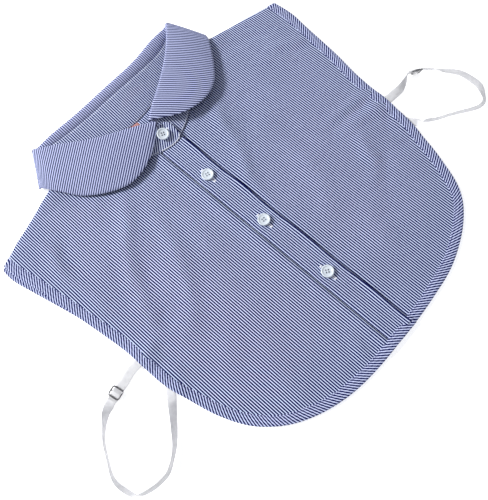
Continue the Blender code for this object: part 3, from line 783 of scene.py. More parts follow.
LEFT_CREASES = [
    # start x y, end x y, bow, width, height, pull
    (-112, 138, -94, 104, 3, 7, -0.9, -0.3),
    (-84, 92, -90, 72, 0, 9, -0.9, -0.3),
    (-64, 86, -98, 50, 3, 8, 1.5, 0.6),
    (-94, 52, -130, -16, -4, 8, 1.5, 0.6),
    (-110, 56, -134, 20, 2, 7, -0.7, -0.4),
    (-56, 60, -86, -12, 4, 9, 1.5, 0.6),
    (-82, -10, -116, -44, 3, 8, 1.2, 0.5),
    (-98, 30, -108, 0, 2, 8, -0.9, -0.4),
    (-40, 74, -52, -20, 4, 11, 0.9, 0.5),
    (-158, 126, -142, 96, 2, 6, 1.1, 0.6),
    (-140, 98, -152, 64, -3, 7, 1.4, 0.6),
    (-150, 66, -148, 24, 3, 7, 1.1, 0.6),
    (-128, 100, -140, 58, -4, 8, -0.8, -0.4),
    (-122, 20, -126, 8, 0, 7, -0.9, -0.5),
    (-122, -16, -118, -28, 0, 7, -0.9, -0.5),
    (-154, -31, -138, -27, 1, 4, 0.8, 0.5),
    (-148, -54, -150, -70, 0, 4, -0.7, -0.4),
    (-27, -138, -34, -164, 1, 6, 0.8, 0.4),
    (-70, -30, -66, -80, 5, 12, 0.8, 0.4),
    (-92, -68, -124, -104, -5, 12, 0.8, 0.4),
    (-70, -92, -94, -144, -6, 12, 0.7, 0.4),
]

RIGHT_CREASES = [
    # start x y, end x y, bow, width, height, pull
    (108, 118, 150, 100, 2, 5, -0.7, -0.4),
    (136, 88, 164, 68, 1, 5, 1.0, 0.5),
    (138, 78, 166, 58, -1, 4, -0.8, -0.4),
    (120, 86, 140, 64, 1, 5, 0.8, 0.4),
    (60, 92, 42, 62, 1, 7, 1.3, 0.6),
    (48, 70, 26, 18, 3, 7, 1.5, 0.6),
    (28, 24, 14, -30, -2, 7, 1.1, 0.5),
    (76, 76, 60, 44, 3, 11, -0.9, -0.4),
    (112, -14, 166, -26, 2, 4, -0.9, -0.6),
    (114, -7, 168, -18, 2, 5, 1.0, 0.5),
    (114, -24, 160, -36, 2, 5, 0.9, 0.5),
    (120, -36, 108, -62, -2, 7, 1.3, 0.6),
    (112, -58, 92, -76, 2, 7, 1.1, 0.5),
    (120, -64, 94, -86, -3, 8, -0.9, -0.4),
    (72, -6, 42, -66, 5, 10, 0.9, 0.4),
    (84, 30, 78, -14, 4, 11, -0.8, -0.4),
    (74, -84, 54, -122, -5, 11, 0.8, 0.4),
    (24, -66, 20, -108, 3, 11, -0.6, -0.4),
]


def front_level(x, y):
    """Underside of both fronts and of their bindings."""
    level = FRONT_LEVEL + neck_rise(x, y)
    if abs(x) > 130.0 and -90.0 < y < 0.0:
        near_tail = min(distance_to_line(x, y, tail) for tail in TAILS)
        level += TAIL_RISE * (1.0 - ramp(near_tail, 6.0, 18.0))
    return level


def left_surface(x, y):
    """The left front puffs up beside the placket's seam and rolls over at it."""
    lift, shift = creased(x, y, LEFT_CREASES)
    climb = (LAP_LEVEL + 0.1 - FRONT_LEVEL) * ramp(x, LAP_START, -14.5)
    puff = 0.25 * math.exp(-((x + 15.5) / 3.5) ** 2) * (1.0 + 0.35 * math.sin(y / 9.0))
    roll = -0.45 * ramp(x, -14.4, -13.1)
    seam = SEAM_PULL * shoulder_drop(x, y, LEFT_SHOULDER)
    return front_level(x, y) + 0.7 + lift + climb + puff + roll - seam, shift


def right_surface(x, y):
    """The right front sinks a little beside the placket's free edge."""
    lift, shift = creased(x, y, RIGHT_CREASES)
    furrow = -0.75 * math.exp(-((x - 13.4) / 2.6) ** 2) * ramp(90.0 - y, 0.0, 12.0)
    calm = ramp(x, 8.0, 22.0)
    seam = SEAM_PULL * shoulder_drop(x, y, RIGHT_SHOULDER)
    return front_level(x, y) + 0.65 + lift * calm + furrow - seam, shift * calm


left_tucked = inward(left_edge, BINDING_WIDTH - TUCKED_IN, left_along, 1)
right_tucked = inward(right_edge, BINDING_WIDTH - TUCKED_IN, right_along, -1)
hem_inside = max(y for x, y in left_tucked + right_tucked if abs(x) < PLACKET_HALF + 2.0)
seam_x = LEFT_NECK[0][0]
under_x = -PLACKET_HALF + 0.5
seam_rows = round((LEFT_NECK[0][1] - hem_inside) / EDGE_STEP)


def front_outline(straight_x, tucked, shoulder, neck, side):
    """Outline of a front: its hem and side, its shoulder, its neck and the straight cut down."""
    outline = [(straight_x, hem_inside)] + [p for p in tucked if (p[0] - straight_x) * side > 1.5]
    outline += shoulder[2:-1] + neck
    top = neck[-1][1]
    return outline + [(straight_x, top + (hem_inside - top) * k / seam_rows) for k in range(1, seam_rows)]


left_neck = smooth_edge(LEFT_NECK, EDGE_STEP)[::-1]
left_outline = front_outline(seam_x, left_tucked, left_shoulder, left_neck, -1)
beside_seam = [(x, y) for x in (-15.0, -13.9) for _, y in left_outline[-seam_rows + 2:-1]]
panel("cloth_left_front", left_outline, FRONT_SPACING, left_surface, beside_seam)

right_neck = smooth_edge(RIGHT_NECK, EDGE_STEP)
right_outline = front_outline(under_x, right_tucked, right_shoulder, right_neck, 1)
panel("cloth_right_front", right_outline, FRONT_SPACING, right_surface)


# ---------------------------------------------------------------- bias bindings
# Strips of the same cotton cut across the grain at 45 degrees and folded round each edge.
# One row of stitches holds both sides, and it nips the inner edge into small scallops.

FOLD_CLOTH = 0.34        # thickness of the folded strip
STITCH_PITCH = 3.3
BACK_PRESSED = 0.86      # height of the back's binding, as a share of the fronts'
STITCH_AT = 0.09         # place of the stitches, as a share of the width from the inner edge
BINDING_STEP = 1.1       # distance from point to point along a binding
TOP_ROWS = 10            # rows of the profile that lie on top
BINDING_PROFILE = [
    # share of the width from the inner edge, height above the underside
    (0.00, 0.72),
    (0.02, 0.98),
    (0.07, 1.06),
    (0.14, 1.02),
    (0.24, 1.12),
    (0.42, 1.21),
    (0.62, 1.22),
    (0.80, 1.16),
    (0.92, 1.02),
    (0.98, 0.80),
    (1.00, 0.58),
    (0.98, 0.36),
    (0.92, 0.22),
    (0.70, 0.18),
    (0.40, 0.18),
    (0.10, 0.18),
    (0.04, 0.20),
]


def left_binding_level(x, y):
    """The left binding climbs over the right binding's end."""
    return front_level(x, y) + (LAP_LEVEL - FRONT_LEVEL) * ramp(x, LAP_START, -15.0)


def edge_binding(name, outer, last_direction, side, level, height, travel, node):
    """A bias strip folded round an edge. travel is 1 where the strip runs on to the right shoulder."""
    fine = smooth_edge([tuple(row[:2]) for row in outer], BINDING_STEP)
    inner = inward(fine, BINDING_WIDTH, last_direction, side)
    if node == "binding_back":
        inner[0] = (fine[0][0] + left_along[0] * BINDING_WIDTH, fine[0][1] + left_along[1] * BINDING_WIDTH)
    bias = math.sqrt(0.5) * MM
    points, cloth, seam = [], [], []
    run = 0.0
    for i, ((ox, oy), (ix, iy)) in enumerate(zip(fine, inner)):
        if i:
            run += math.dist(fine[i - 1], fine[i])
        nip = 0.5 + 0.5 * math.cos(2 * math.pi * run / STITCH_PITCH)
        wander = 0.25 * math.sin(run / 17.0) + 0.2 * math.sin(run / 7.3 + 1.0)
        crossed = 0.0
        for c, (share, rise) in enumerate(BINDING_PROFILE):
            sway, lift = share, 0.0
            if c < TOP_ROWS:
                held = max(0.0, 1.0 - abs(share - STITCH_AT) / 0.12)
                sway += (1.0 - share) * (0.35 * nip - 0.2 + wander) / BINDING_WIDTH
                lift = 0.06 * math.sin(run / 5.1 + 3.0 * share) * (1.0 - held) - 0.22 * nip * held
            x, y = ix + (ox - ix) * sway, iy + (oy - iy) * sway
            point = Vector((x, y, level(x, y) + rise * height + lift))
            if c:
                crossed += (point - points[-1]).length
            points.append(point)
            cloth.append(((travel * run - crossed) * bias, (travel * run + crossed) * bias))
        seam.append(points[-len(BINDING_PROFILE) + 3].copy())
    faces = grid_faces(len(fine), len(BINDING_PROFILE))
    if side > 0:
        faces = [tuple(reversed(face)) for face in faces]
    made = shell(name, points, faces, FOLD_CLOTH, bias_cotton, cloth)
    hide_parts(node)
    width = sum(
        math.hypot((b[0] - a[0]) * BINDING_WIDTH, (b[1] - a[1]) * height)
        for a, b in zip(BINDING_PROFILE, BINDING_PROFILE[1:])
    )
    return seam


bias_cotton = striped_cotton("bias_cotton", 0.42, (0.62, 0.68, 0.96), (0.003, 0.007, 0.092))
back_seam = edge_binding(
    "folded_binding_back", back_edge, right_along, -1, neck_rise, BACK_PRESSED, 1, "binding_back"
)
left_seam = edge_binding(
    "folded_binding_left", left_edge, left_along, 1, left_binding_level, 1.0, -1, "binding_front_left"
)
right_seam = edge_binding(
    "folded_binding_right", right_edge, right_along, -1, front_level, 1.0, 1, "binding_front_right"
)


# ---------------------------------------------------------------- placket band
# A folded and fused band, 24 mm wide, sewn to the left front and buttoned over the right.
# Its free edge is a plain fold that ripples a little between the buttons.

PLACKET_THICK = 1.6
BAND_CLOTH = 1.15         # thickness of the folded band as it shows
BAND_IN = 0.8             # its sewn edge stays this far back, so that the seam is a fine dark line
BAND_CUT = 1.0            # sideways place of its cut in the stripes, which puts a navy one on each edge: the stripes' own colour, placed there as painted shade for the dark line along the seam and the free edge
BAND_SEAM_X = -10.2       # the stitches along its sewn edge
BAND_FREE_X = 4.0         # from here on it lifts and sways towards its free edge
BAND_ROWS = 150
BAND_COLUMNS = 31
BUTTONS = [
    # name of the node, x, y, turn of the holes in degrees
    ("button_upper", -1.0, 41.0, 28),
    ("button_middle", -0.5, -25.5, 40),
    ("button_lower", -0.5, -96.5, 12),
]
BAND_TOP = [(-12, 88), (-6, 86), (-1, 84.5), (9, 84), (12, 84)]
BUTTONHOLE_HALF = 7.4     # half the length of a buttonhole, which runs along the band


def band_top(x):
    """The band's upper end, where the stand's neck seam crosses it."""
    for (ax, ay), (bx, by) in zip(BAND_TOP, BAND_TOP[1:]):
        if x <= bx:
            return ay + (by - ay) * (x - ax) / (bx - ax)
    return BAND_TOP[-1][1]


def spread(x, y):
    """How far the stripes are pushed aside by the buttons' shanks in the buttonholes."""
    moved = 0.0
    for _, bx, by, _ in BUTTONS:
        near = 1.0 - ramp(abs(y - by), 1.0, 12.0)
        away = abs(x - bx)
        push = 1.5 * ramp(away, 0.0, 1.5) * math.exp(-away / 6.5) * near
        moved -= math.copysign(push, x - bx)
    return moved


def ripple(y):
    """How far the free edge stands up between the buttons, from 0 to 1."""
    height = 1.0
    for _, bx, by, _ in BUTTONS:
        height *= ramp(abs(y - by), 2.0, 26.0)
    return height * (0.75 + 0.25 * math.sin(y / 8.0))


band_points, band_cloth, band_seam = [], [], []
for r in range(BAND_ROWS + 1):
    for c in range(BAND_COLUMNS):
        x = -PLACKET_HALF + BAND_IN + (2 * PLACKET_HALF - BAND_IN) * c / (BAND_COLUMNS - 1)
        y = hem_inside + (band_top(x) - hem_inside) * r / BAND_ROWS
        free = ramp(x, BAND_FREE_X, PLACKET_HALF)
        edge_x = x + free * (0.35 * math.sin(y / 11.0 + 0.7) + 0.5 * ripple(y) - 0.3)
        z = PLACKET_LEVEL + PLACKET_THICK - BAND_CLOTH / 2 - 0.1
        z += free * (0.5 * ripple(y) + 0.55) + 0.12 * math.sin(y / 6.0) * free
        z -= 0.5 * (1.0 - ramp(x, BAND_SEAM_X - 1.0, BAND_SEAM_X + 0.6))
        nip = 1.0 + math.sin(2 * math.pi * y / STITCH_PITCH)
        z -= 0.14 * math.exp(-((x - BAND_SEAM_X) / 0.8) ** 2) * nip
        z += 0.12 * math.sin(y / 13.0 + x / 5.0)
        band_points.append(Vector((edge_x, y, z)))
        band_cloth.append(((x + BAND_CUT + spread(x, y)) * MM, y * MM))
        if c == 1:
            band_seam.append(band_points[-1] + UP * BAND_CLOTH / 2)
placket_band = shell(
    "folded_placket_band", band_points, grid_faces(BAND_ROWS + 1, BAND_COLUMNS), BAND_CLOTH,
    cotton, band_cloth,
)
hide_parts("placket_band")
(band_top(0.0) - hem_inside) * MM


# ---------------------------------------------------------------- collar stand
# A narrow fused band that stands up from the neck seam and runs on past each leaf.
# At the back it leans over and shows its inside; in front its two ends button together.

COLLAR_CLOTH = 1.0        # thickness of the fused collar pieces
STAND_GAP = 0.15          # seam line between the stand and the fall
TAB_DIP = 2.0             # how far the left tab's upper edge dips under the button
TAB_STEPS = 7             # smooth sections between two rows of a tab's table

# The collar, section by section round the neck. Each section runs from the neck seam
# up the stand, round the roll and down the fall to its outer edge.
# turn: which way the fall lies, 0 on top of the fronts, 90 outwards, 180 underneath.
# roll: radius of the roll.  seam: where the stand ends, as a share of its straight part.
# sag: how far the stand dips.  crown: how far the fall bulges.
COLLAR = [
    # place, neck x y z, fold x y z, edge x y z, turn, roll, seam, sag, crown
    ("left tip", -1, 85.5, 4.2, 5, 110, 12.0, -2, 103.5, 10.6, 0, 1.5, 0.92, 0.0, 0.2),
    ("left front", -13, 89.5, 4.2, -10, 120, 12.4, -26, 90, 8.0, 0, 1.6, 0.92, 0.0, 0.9),
    ("left leaf", -27, 97, 4.0, -28, 130.5, 12.8, -50, 87, 6.8, 0, 1.6, 0.88, 0.0, 1.2),
    ("left middle", -44, 111, 4.0, -47, 142.5, 13.2, -70, 96, 6.2, 0, 1.6, 0.9, 0.0, 1.3),
    ("left side", -60, 130, 4.6, -67, 159, 13.0, -88, 112, 5.5, 0, 1.7, 0.92, 0.0, 1.2),
    ("left shoulder", -69.5, 145, 5.4, -81, 171, 11.6, -99, 130, 6.4, 15, 1.8, 0.92, 0.0, 1.0),
    ("left crease top", -73, 151.5, 5.4, -86.5, 177, 9.8, -107, 144.5, 6.0, 50, 1.9, 0.88, 0.0, 0.6),
    ("left crease", -74, 153, 3.9, -88, 178, 7.5, -109.5, 148, 3.6, 90, 2.0, 0.86, 0.0, 0.0),
    ("left crease low", -72.5, 153, 2.8, -85.5, 178.5, 5.2, -107.5, 148.5, 1.3, 135, 2.4, 0.84, 0.0, 0.0),
    ("left back", -60, 146.5, 2.4, -66.5, 178.5, 4.9, -88, 143.5, 0.75, 180, 4.0, 0.76, 0.0, 0.0),
    ("left quarter", -33, 134.5, 2.4, -35, 175.5, 6.0, -44, 133, 0.75, 180, 5.2, 0.8, 0.0, 0.0),
    ("centre back", 0, 129, 2.4, 0, 174.5, 6.7, 0, 127, 0.75, 180, 5.9, 0.82, 0.0, 0.0),
    ("right quarter", 33, 134.5, 2.4, 36, 174.5, 6.0, 44, 133, 0.75, 180, 5.2, 0.76, 0.0, 0.0),
    ("right back", 60, 146.5, 2.4, 66, 179, 4.9, 86, 144, 0.75, 180, 4.0, 0.6, 0.0, 0.0),
    ("right crease low", 72.5, 153, 2.8, 85, 179.5, 5.2, 104, 145.5, 1.3, 135, 2.4, 0.7, 0.0, 0.0),
    ("right crease", 74, 153, 3.9, 89, 179.5, 7.5, 106, 144.5, 3.8, 90, 2.0, 0.9, 0.0, 0.0),
    ("right crease top", 73, 151.5, 5.4, 88, 178.5, 10.0, 105, 140.5, 6.6, 50, 1.9, 0.9, 0.0, 0.6),
    ("right shoulder", 69.5, 145, 5.4, 81, 170.5, 12.0, 100.5, 132, 7.6, 15, 1.9, 0.88, 0.0, 1.0),
    ("right side", 60, 130, 4.6, 69, 158.5, 13.6, 87, 114.5, 8.8, 0, 2.0, 0.88, 0.0, 1.4),
    ("right middle", 48, 110, 4.0, 53, 146, 15.0, 71.5, 99.5, 10.2, 0, 2.1, 0.82, 0.0, 1.4),
    ("right leaf", 30.5, 96, 3.6, 34, 134, 15.0, 53, 93.5, 11.4, 0, 2.2, 0.78, 0.0, 1.2),
    ("right front", 14.5, 89, 2.8, 14.5, 124, 13.4, 29, 98, 12.4, 0, 2.0, 0.8, 0.8, 0.6),
    ("right tip", 3.5, 86, 1.9, 3, 117, 11.6, 7, 113, 12.6, 0, 1.7, 0.84, 1.4, 0.1),
]
COLLAR_SPANS = 9          # smooth sections between two rows of the table
STAND_COLUMNS = 12
ROLL_COLUMNS = 12
FALL_COLUMNS = 22

# The stand runs on past each leaf to carry the button and the buttonhole.
LEFT_TAB = [
    # neck x y z, top x y z
    (12, 88.5, 6.0, 14, 100, 9.4),
    (9, 85.5, 5.2, 13, 104, 10.0),
    (4.5, 85, 4.6, 9.5, 106.5, 10.2),
]
RIGHT_TAB = [
    (-4, 86.5, 1.8, -5, 110.5, 5.4),
    (-9, 88, 1.8, -10.5, 108, 4.4),
    (-12, 91.5, 2.0, -12.5, 103, 3.4),
]


def section_path(row):
    """Points of one collar section: (the stand's points, the fall's points)."""
    neck, fold, edge = Vector(row[0:3]), Vector(row[3:6]), Vector(row[6:9])
    turn, roll, seam, sag, crown = row[9:14]
    lead = fold - (neck + edge) / 2
    lead.z = 0.0
    lead.normalize()
    aside = Vector((-lead.y, lead.x, 0.0))
    if aside.dot(edge - neck) < 0.0:
        aside = -aside
    angle = math.radians(turn)
    normal = UP * math.cos(angle) + aside * math.sin(angle)
    centre = fold - lead * roll
    bottom = centre - normal * roll
    top = centre + normal * roll

    def stand_point(share):
        point = neck.lerp(bottom, share)
        point.z -= sag * 4.0 * share * (1.0 - share)
        return point

    stand = [stand_point(seam * k / (STAND_COLUMNS - 1)) for k in range(STAND_COLUMNS)]
    past_seam = seam + STAND_GAP / (bottom - neck).length
    fall = [stand_point(past_seam)]
    for k in range(ROLL_COLUMNS + 1):
        bend = math.pi * k / ROLL_COLUMNS
        fall.append(centre - normal * roll * math.cos(bend) + lead * roll * math.sin(bend))
    for k in range(1, FALL_COLUMNS + 1):
        share = k / FALL_COLUMNS
        fall.append(top.lerp(edge, share) + normal * crown * 4.0 * share * (1.0 - share))
    return stand, fall


def run_lengths(points):
    """Distance along a row of points, from its first to each one."""
    runs = [0.0]
    for a, b in zip(points, points[1:]):
        runs.append(runs[-1] + (b - a).length)
    return runs


def grid_area(rows):
    """Area of a grid of points, in square metres."""
    area = 0.0
    for low, high in zip(rows, rows[1:]):
        for c in range(len(low) - 1):
            area += (high[c + 1] - low[c]).cross(high[c] - low[c + 1]).length / 2
    return area * MM * MM


def collar_sheet(rows):
    """Length, width and area of a collar piece, in metres."""
    middle = run_lengths([row[len(row) // 2] for row in rows])[-1]
    width = max(run_lengths(row)[-1] for row in rows)
    area = grid_area(rows)
    length = max(middle * MM, area / (width * MM))
    return (width * MM, length), area


def collar_piece(name, node, rows, finish, cloth):
    """One of the collar's two fused pieces, from its rows of points."""
    points = [point for row in rows for point in row]
    faces = grid_faces(len(rows), len(rows[0]))
    made = shell(name, points, faces, COLLAR_CLOTH, finish, cloth)
    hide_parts(node)
    flat, area = collar_sheet(rows)


collar_rows = smooth_rows([row[1:] for row in COLLAR], [COLLAR_SPANS] * (len(COLLAR) - 1))
collar_paths = [section_path(row) for row in collar_rows]


def tab_sections(table):
    """Smooth sections of the stand beyond a leaf."""
    return [
        [Vector(row[0:3]).lerp(Vector(row[3:6]), k / (STAND_COLUMNS - 1)) for k in range(STAND_COLUMNS)]
        for row in smooth_rows(table, [TAB_STEPS] * (len(table) - 1))
    ]


left_tab_ends = LEFT_TAB + [tuple(collar_paths[0][0][0]) + tuple(collar_paths[0][0][-1])]
right_tab_ends = [tuple(collar_paths[-1][0][0]) + tuple(collar_paths[-1][0][-1])] + RIGHT_TAB
stand_rows = tab_sections(left_tab_ends)[:-1]
left_tab_count = len(stand_rows)
stand_rows += [path[0] for path in collar_paths]
right_tab_start = len(stand_rows)
stand_rows += tab_sections(right_tab_ends)[1:]

for r, row in enumerate(stand_rows[:left_tab_count]):
    dip = TAB_DIP * (1.0 - ramp(r, left_tab_count - 5, left_tab_count))
    for k, point in enumerate(row):
        point.z -= dip * ramp(k / (STAND_COLUMNS - 1), 0.6, 1.0)

stand_cloth = []
for r, row in enumerate(stand_rows):
    in_tab = 1.0 - ramp(r, left_tab_count + COLLAR_SPANS, left_tab_count + 3 * COLLAR_SPANS)
    for point in row:
        tab_u = 0.76 * point.x - 0.64 * point.y + 59.4      # the tab's stripes lean with its end
        stand_cloth.append(((point.x + (tab_u - point.x) * in_tab) * MM, point.y * MM))
collar_cotton = striped_cotton("collar_cotton", 0.43, (0.59, 0.64, 0.93), (0.045, 0.052, 0.14))
# The stand's cotton is a lighter copy of the same stripes. This is painted light that brightens the stand
# where it lies in the shade of the leaves and the roll.
stand_cotton_painted_light = striped_cotton("stand_cotton_painted_light", 0.41, (0.70, 0.78, 1.0), (0.008, 0.013, 0.12))
collar_piece(
    "fused_collar_stand", "collar_stand", stand_rows, stand_cotton_painted_light, stand_cloth
)


# ---------------------------------------------------------------- collar fall
# The turned-over leaf: one curved, fused piece with rounded ends, sewn to the stand's top.
# It folds over the stand; both ends lie on the fronts and its middle is turned underneath.

LEFT_GRAIN = math.radians(31.0)     # direction of the stripes on each leaf, from X
RIGHT_GRAIN = math.radians(-48.0)


def leaf_u(point, grain):
    """Distance across the stripes of a leaf."""
    return -math.sin(grain) * point.x + math.cos(grain) * point.y


fall_rows = [path[1] for path in collar_paths]
section_count = len(fall_rows)
left_crease = 6 * COLLAR_SPANS      # the section where each leaf starts to turn under
right_crease = 16 * COLLAR_SPANS
top_column = 1 + ROLL_COLUMNS       # the first column past the roll

fold_u, slope_u = [], []
for r, row in enumerate(fall_rows):
    left = r < section_count // 2
    grain = LEFT_GRAIN if left else RIGHT_GRAIN
    sign = -1.0 if left else 1.0
    crease_row = fall_rows[left_crease if left else right_crease]
    fold_point, edge_point = row[top_column], row[-1]
    leaf_fold = sign * (leaf_u(fold_point, grain) - leaf_u(crease_row[top_column], grain))
    leaf_fold += crease_row[top_column].x
    leaf_slope = sign * (leaf_u(edge_point, grain) - leaf_u(fold_point, grain))
    back_slope = edge_point.x - fold_point.x
    length = (edge_point - fold_point).length
    turn = collar_rows[r][9]
    back = ramp(turn, 20.0, 150.0)
    fold_u.append(leaf_fold)
    slope_u.append((leaf_slope + (back_slope - leaf_slope) * back) / length)

fall_cloth = []
for r, row in enumerate(fall_rows):
    runs = run_lengths(row)
    turned_under = ramp(collar_rows[r][9], 55.0, 125.0)
    for c, point in enumerate(row):
        past = runs[c] - runs[top_column]
        leaf = fold_u[r] + slope_u[r] * past
        fall_cloth.append(((leaf + (point.x - leaf) * turned_under) * MM, past * MM))
collar_piece(
    "fused_collar_fall", "collar_fall", fall_rows, collar_cotton, fall_cloth,
)


# ---------------------------------------------------------------- neck label
# A small woven label in plain coral, with nothing on it, sewn to the inside of the back.
# All but one corner of it is under the leaves.

LABEL_OUTLINE = [(-21, 118.5), (-4.5, 117), (-4, 128), (-20.5, 130)]
LABEL_CLOTH = 0.4
LABEL_ROWS = 13
LABEL_COLUMNS = 17


def coral_weave():
    """Coral satin ribbon with a fine rib."""
    finish, make, dress = new_finish("coral_label", {"Roughness": 0.6})
    place = make("UVMap", {}, uv_map="cloth")
    rib = wave(make, make("SeparateXYZ", {0: place}, "Y"), 0.0007)
    uneven = make("TexNoise", {"Vector": place, "Scale": 350.0, "Detail": 3.0})
    tint = make("MixRGB", {0: uneven, 1: (0.30, 0.10, 0.10, 1.0), 2: (0.66, 0.34, 0.31, 1.0)})
    bump = make("Bump", {"Height": rib, "Strength": 0.4, "Distance": 0.0001})
    dress({"Base Color": tint, "Normal": bump})
    return finish


label_points = []
for r in range(LABEL_ROWS):
    up = r / (LABEL_ROWS - 1)
    left_end = Vector(LABEL_OUTLINE[0]).lerp(Vector(LABEL_OUTLINE[3]), up)
    right_end = Vector(LABEL_OUTLINE[1]).lerp(Vector(LABEL_OUTLINE[2]), up)
    for c in range(LABEL_COLUMNS):
        spot = left_end.lerp(right_end, c / (LABEL_COLUMNS - 1))
        height = back_surface(spot.x, spot.y)[0] + CLOTH / 2 + 0.45 + 0.12 * math.sin(c / 2.5)
        label_points.append(Vector((spot.x, spot.y, height)))
neck_label = shell(
    "bare_neck_label", label_points, grid_faces(LABEL_ROWS, LABEL_COLUMNS), LABEL_CLOTH,
    coral_weave(), [(p.x * MM, p.y * MM) for p in label_points],
)
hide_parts("neck_label")


# ---------------------------------------------------------------- buttons
# Turned pearl-white resin buttons, 11.4 mm across, with a rim, a dished face and four holes.
# Each is sewn on with two bars of white thread.

BUTTON_RADIUS = 5.7
BUTTON_THICK = 2.4
DISH_LEVEL = 1.72         # height of the dished face round the holes
HOLE_RADIUS = 0.8
HOLE_PLACE = 1.5          # distance from a hole's centre to the button's
COLLAR_BUTTON = (1, 98, 8.9, 14, 20)          # x, y, underside, slope of the stand, turn of the holes
THREAD_ARCH = [
    # share of the way from hole to hole, height
    (0.0, 0.4),
    (0.1, 1.66),
    (0.3, 1.92),
    (0.7, 1.92),
    (0.9, 1.66),
    (1.0, 0.4),
]


def pearl_resin():
    """Milky resin with faint clouds and a soft gloss."""
    finish, make, dress = new_finish("pearl_resin", {
        "Roughness": 0.28,
        "Coat Weight": 0.25,
        "Coat Roughness": 0.15,
        "Subsurface Weight": 0.1,
        "Subsurface Radius": (0.002, 0.002, 0.002),
    })
    place = make("TexCoord", {}, "Object")
    cloud = make("TexNoise", {"Vector": place, "Scale": 240.0, "Detail": 3.0, "Distortion": 1.5})
    tint = make("MixRGB", {0: cloud, 1: (0.64, 0.71, 0.78, 1.0), 2: (0.75, 0.81, 0.87, 1.0)})
    dress({"Base Color": tint})
    return finish


def hole_places(turn):
    """Places of a button's four holes on its own plan."""
    angles = [math.radians(turn + 90 * h) for h in range(4)]
    return [(HOLE_PLACE * math.cos(angle), HOLE_PLACE * math.sin(angle)) for angle in angles]


def button_body(turn):
    """Points and faces of a button on its own origin, with its four holes."""
    points, faces = [], []

    def rings_about(cx, cy, profile, sides, inwards=False):
        """Adds a turned wall and gives the points of its lowest and its highest ring."""
        start = len(points)
        for radius, height in profile:
            for k in range(sides):
                angle = 2 * math.pi * k / sides
                x, y = cx + radius * math.cos(angle), cy + radius * math.sin(angle)
                points.append(Vector((x, y, height)))
        wall = moved_on(grid_faces(len(profile), sides, ring=True), start)
        faces.extend([tuple(reversed(face)) for face in wall] if inwards else wall)
        return list(range(start, start + sides)), list(range(len(points) - sides, len(points)))

    outer_profile = [
        # radius, height
        (HOLE_PLACE + 2.1, 0.0),
        (BUTTON_RADIUS * 0.84, 0.0),
        (BUTTON_RADIUS * 0.94, 0.35),
        (BUTTON_RADIUS * 0.99, 0.95),
        (BUTTON_RADIUS, 1.45),
        (BUTTON_RADIUS * 0.985, 1.95),
        (BUTTON_RADIUS * 0.95, 2.28),
        (BUTTON_RADIUS * 0.90, BUTTON_THICK),
        (BUTTON_RADIUS * 0.82, 2.38),
        (BUTTON_RADIUS * 0.75, 2.18),
        (BUTTON_RADIUS * 0.69, 1.9),
        (BUTTON_RADIUS * 0.62, 1.76),
        (HOLE_PLACE + 1.3, DISH_LEVEL),
    ]
    hole_profile = [
        (HOLE_RADIUS, 0.0),
        (HOLE_RADIUS * 0.95, 0.3),
        (HOLE_RADIUS * 0.95, 1.5),
        (HOLE_RADIUS * 0.97, 1.66),
        (HOLE_RADIUS * 1.05, DISH_LEVEL),
    ]
    holes = hole_places(turn)
    rings = [rings_about(0.0, 0.0, outer_profile, 64)]
    rings += [rings_about(cx, cy, hole_profile, 16, inwards=True) for cx, cy in holes]
    for level in (0, 1):
        loops = [ring[level] for ring in rings]
        edges = []
        for loop in loops:
            first = len(edges)
            edges += [(first + k, first + (k + 1) % len(loop)) for k in range(len(loop))]
        spots = [index for loop in loops for index in loop]
        plan = [points[index].xy for index in spots]
        _, _, fill, *_ = delaunay_2d_cdt(plan, edges, [], 1, 1e-7)
        for face in fill:
            middle = sum((plan[i] for i in face), Vector((0.0, 0.0))) / len(face)
            in_hole = any(math.dist(middle, hole) < HOLE_RADIUS * 0.9 for hole in holes)
            if in_hole or middle.length > plan[0].length:
                continue
            corners = [spots[i] for i in face]
            a, b, c = (points[i].xy for i in corners[:3])
            if ((b - a).cross(c - a) > 0.0) != (level == 1):
                corners.reverse()
            faces.append(tuple(corners))
    return points, faces


def stitch_bar(start, end, radius):
    """Points and faces of one stitch: a short bar with rounded ends."""
    length = (end - start).length
    tip = min(radius, length * 0.3)
    stations = [(0.0, 0.35), (tip / 2, 0.85), (tip, 1.0)]
    stations += [(length - run, swell) for run, swell in reversed(stations)]
    path = [start.lerp(end, run / length) for run, _ in stations]
    return tube(path, [radius * swell for _, swell in stations], 6)


def thread_piece(name, bars, finish):
    """Many stitches in one piece. bars holds each stitch's start, end and radius."""
    points, faces = [], []
    for start, end, radius in bars:
        more_points, more_faces = stitch_bar(start, end, radius)
        faces += moved_on(more_faces, len(points))
        points += more_points
    return add_piece(name, points, faces, finish)


def sewing_thread(name, light, dark):
    """Matt twisted cotton thread."""
    finish, make, dress = new_finish(name, {"Roughness": 0.7})
    place = make("TexCoord", {}, "Object")
    twist = make("TexNoise", {"Vector": place, "Scale": 2500.0, "Detail": 2.0})
    tint = make("MixRGB", {0: twist, 1: (*light, 1.0), 2: (*dark, 1.0)})
    bump = make("Bump", {"Height": twist, "Strength": 0.3, "Distance": 0.0001})
    dress({"Base Color": tint, "Normal": bump})
    return finish


resin = pearl_resin()
white_thread = sewing_thread("white_thread", (0.88, 0.89, 0.95), (0.72, 0.74, 0.85))
button_bars = []


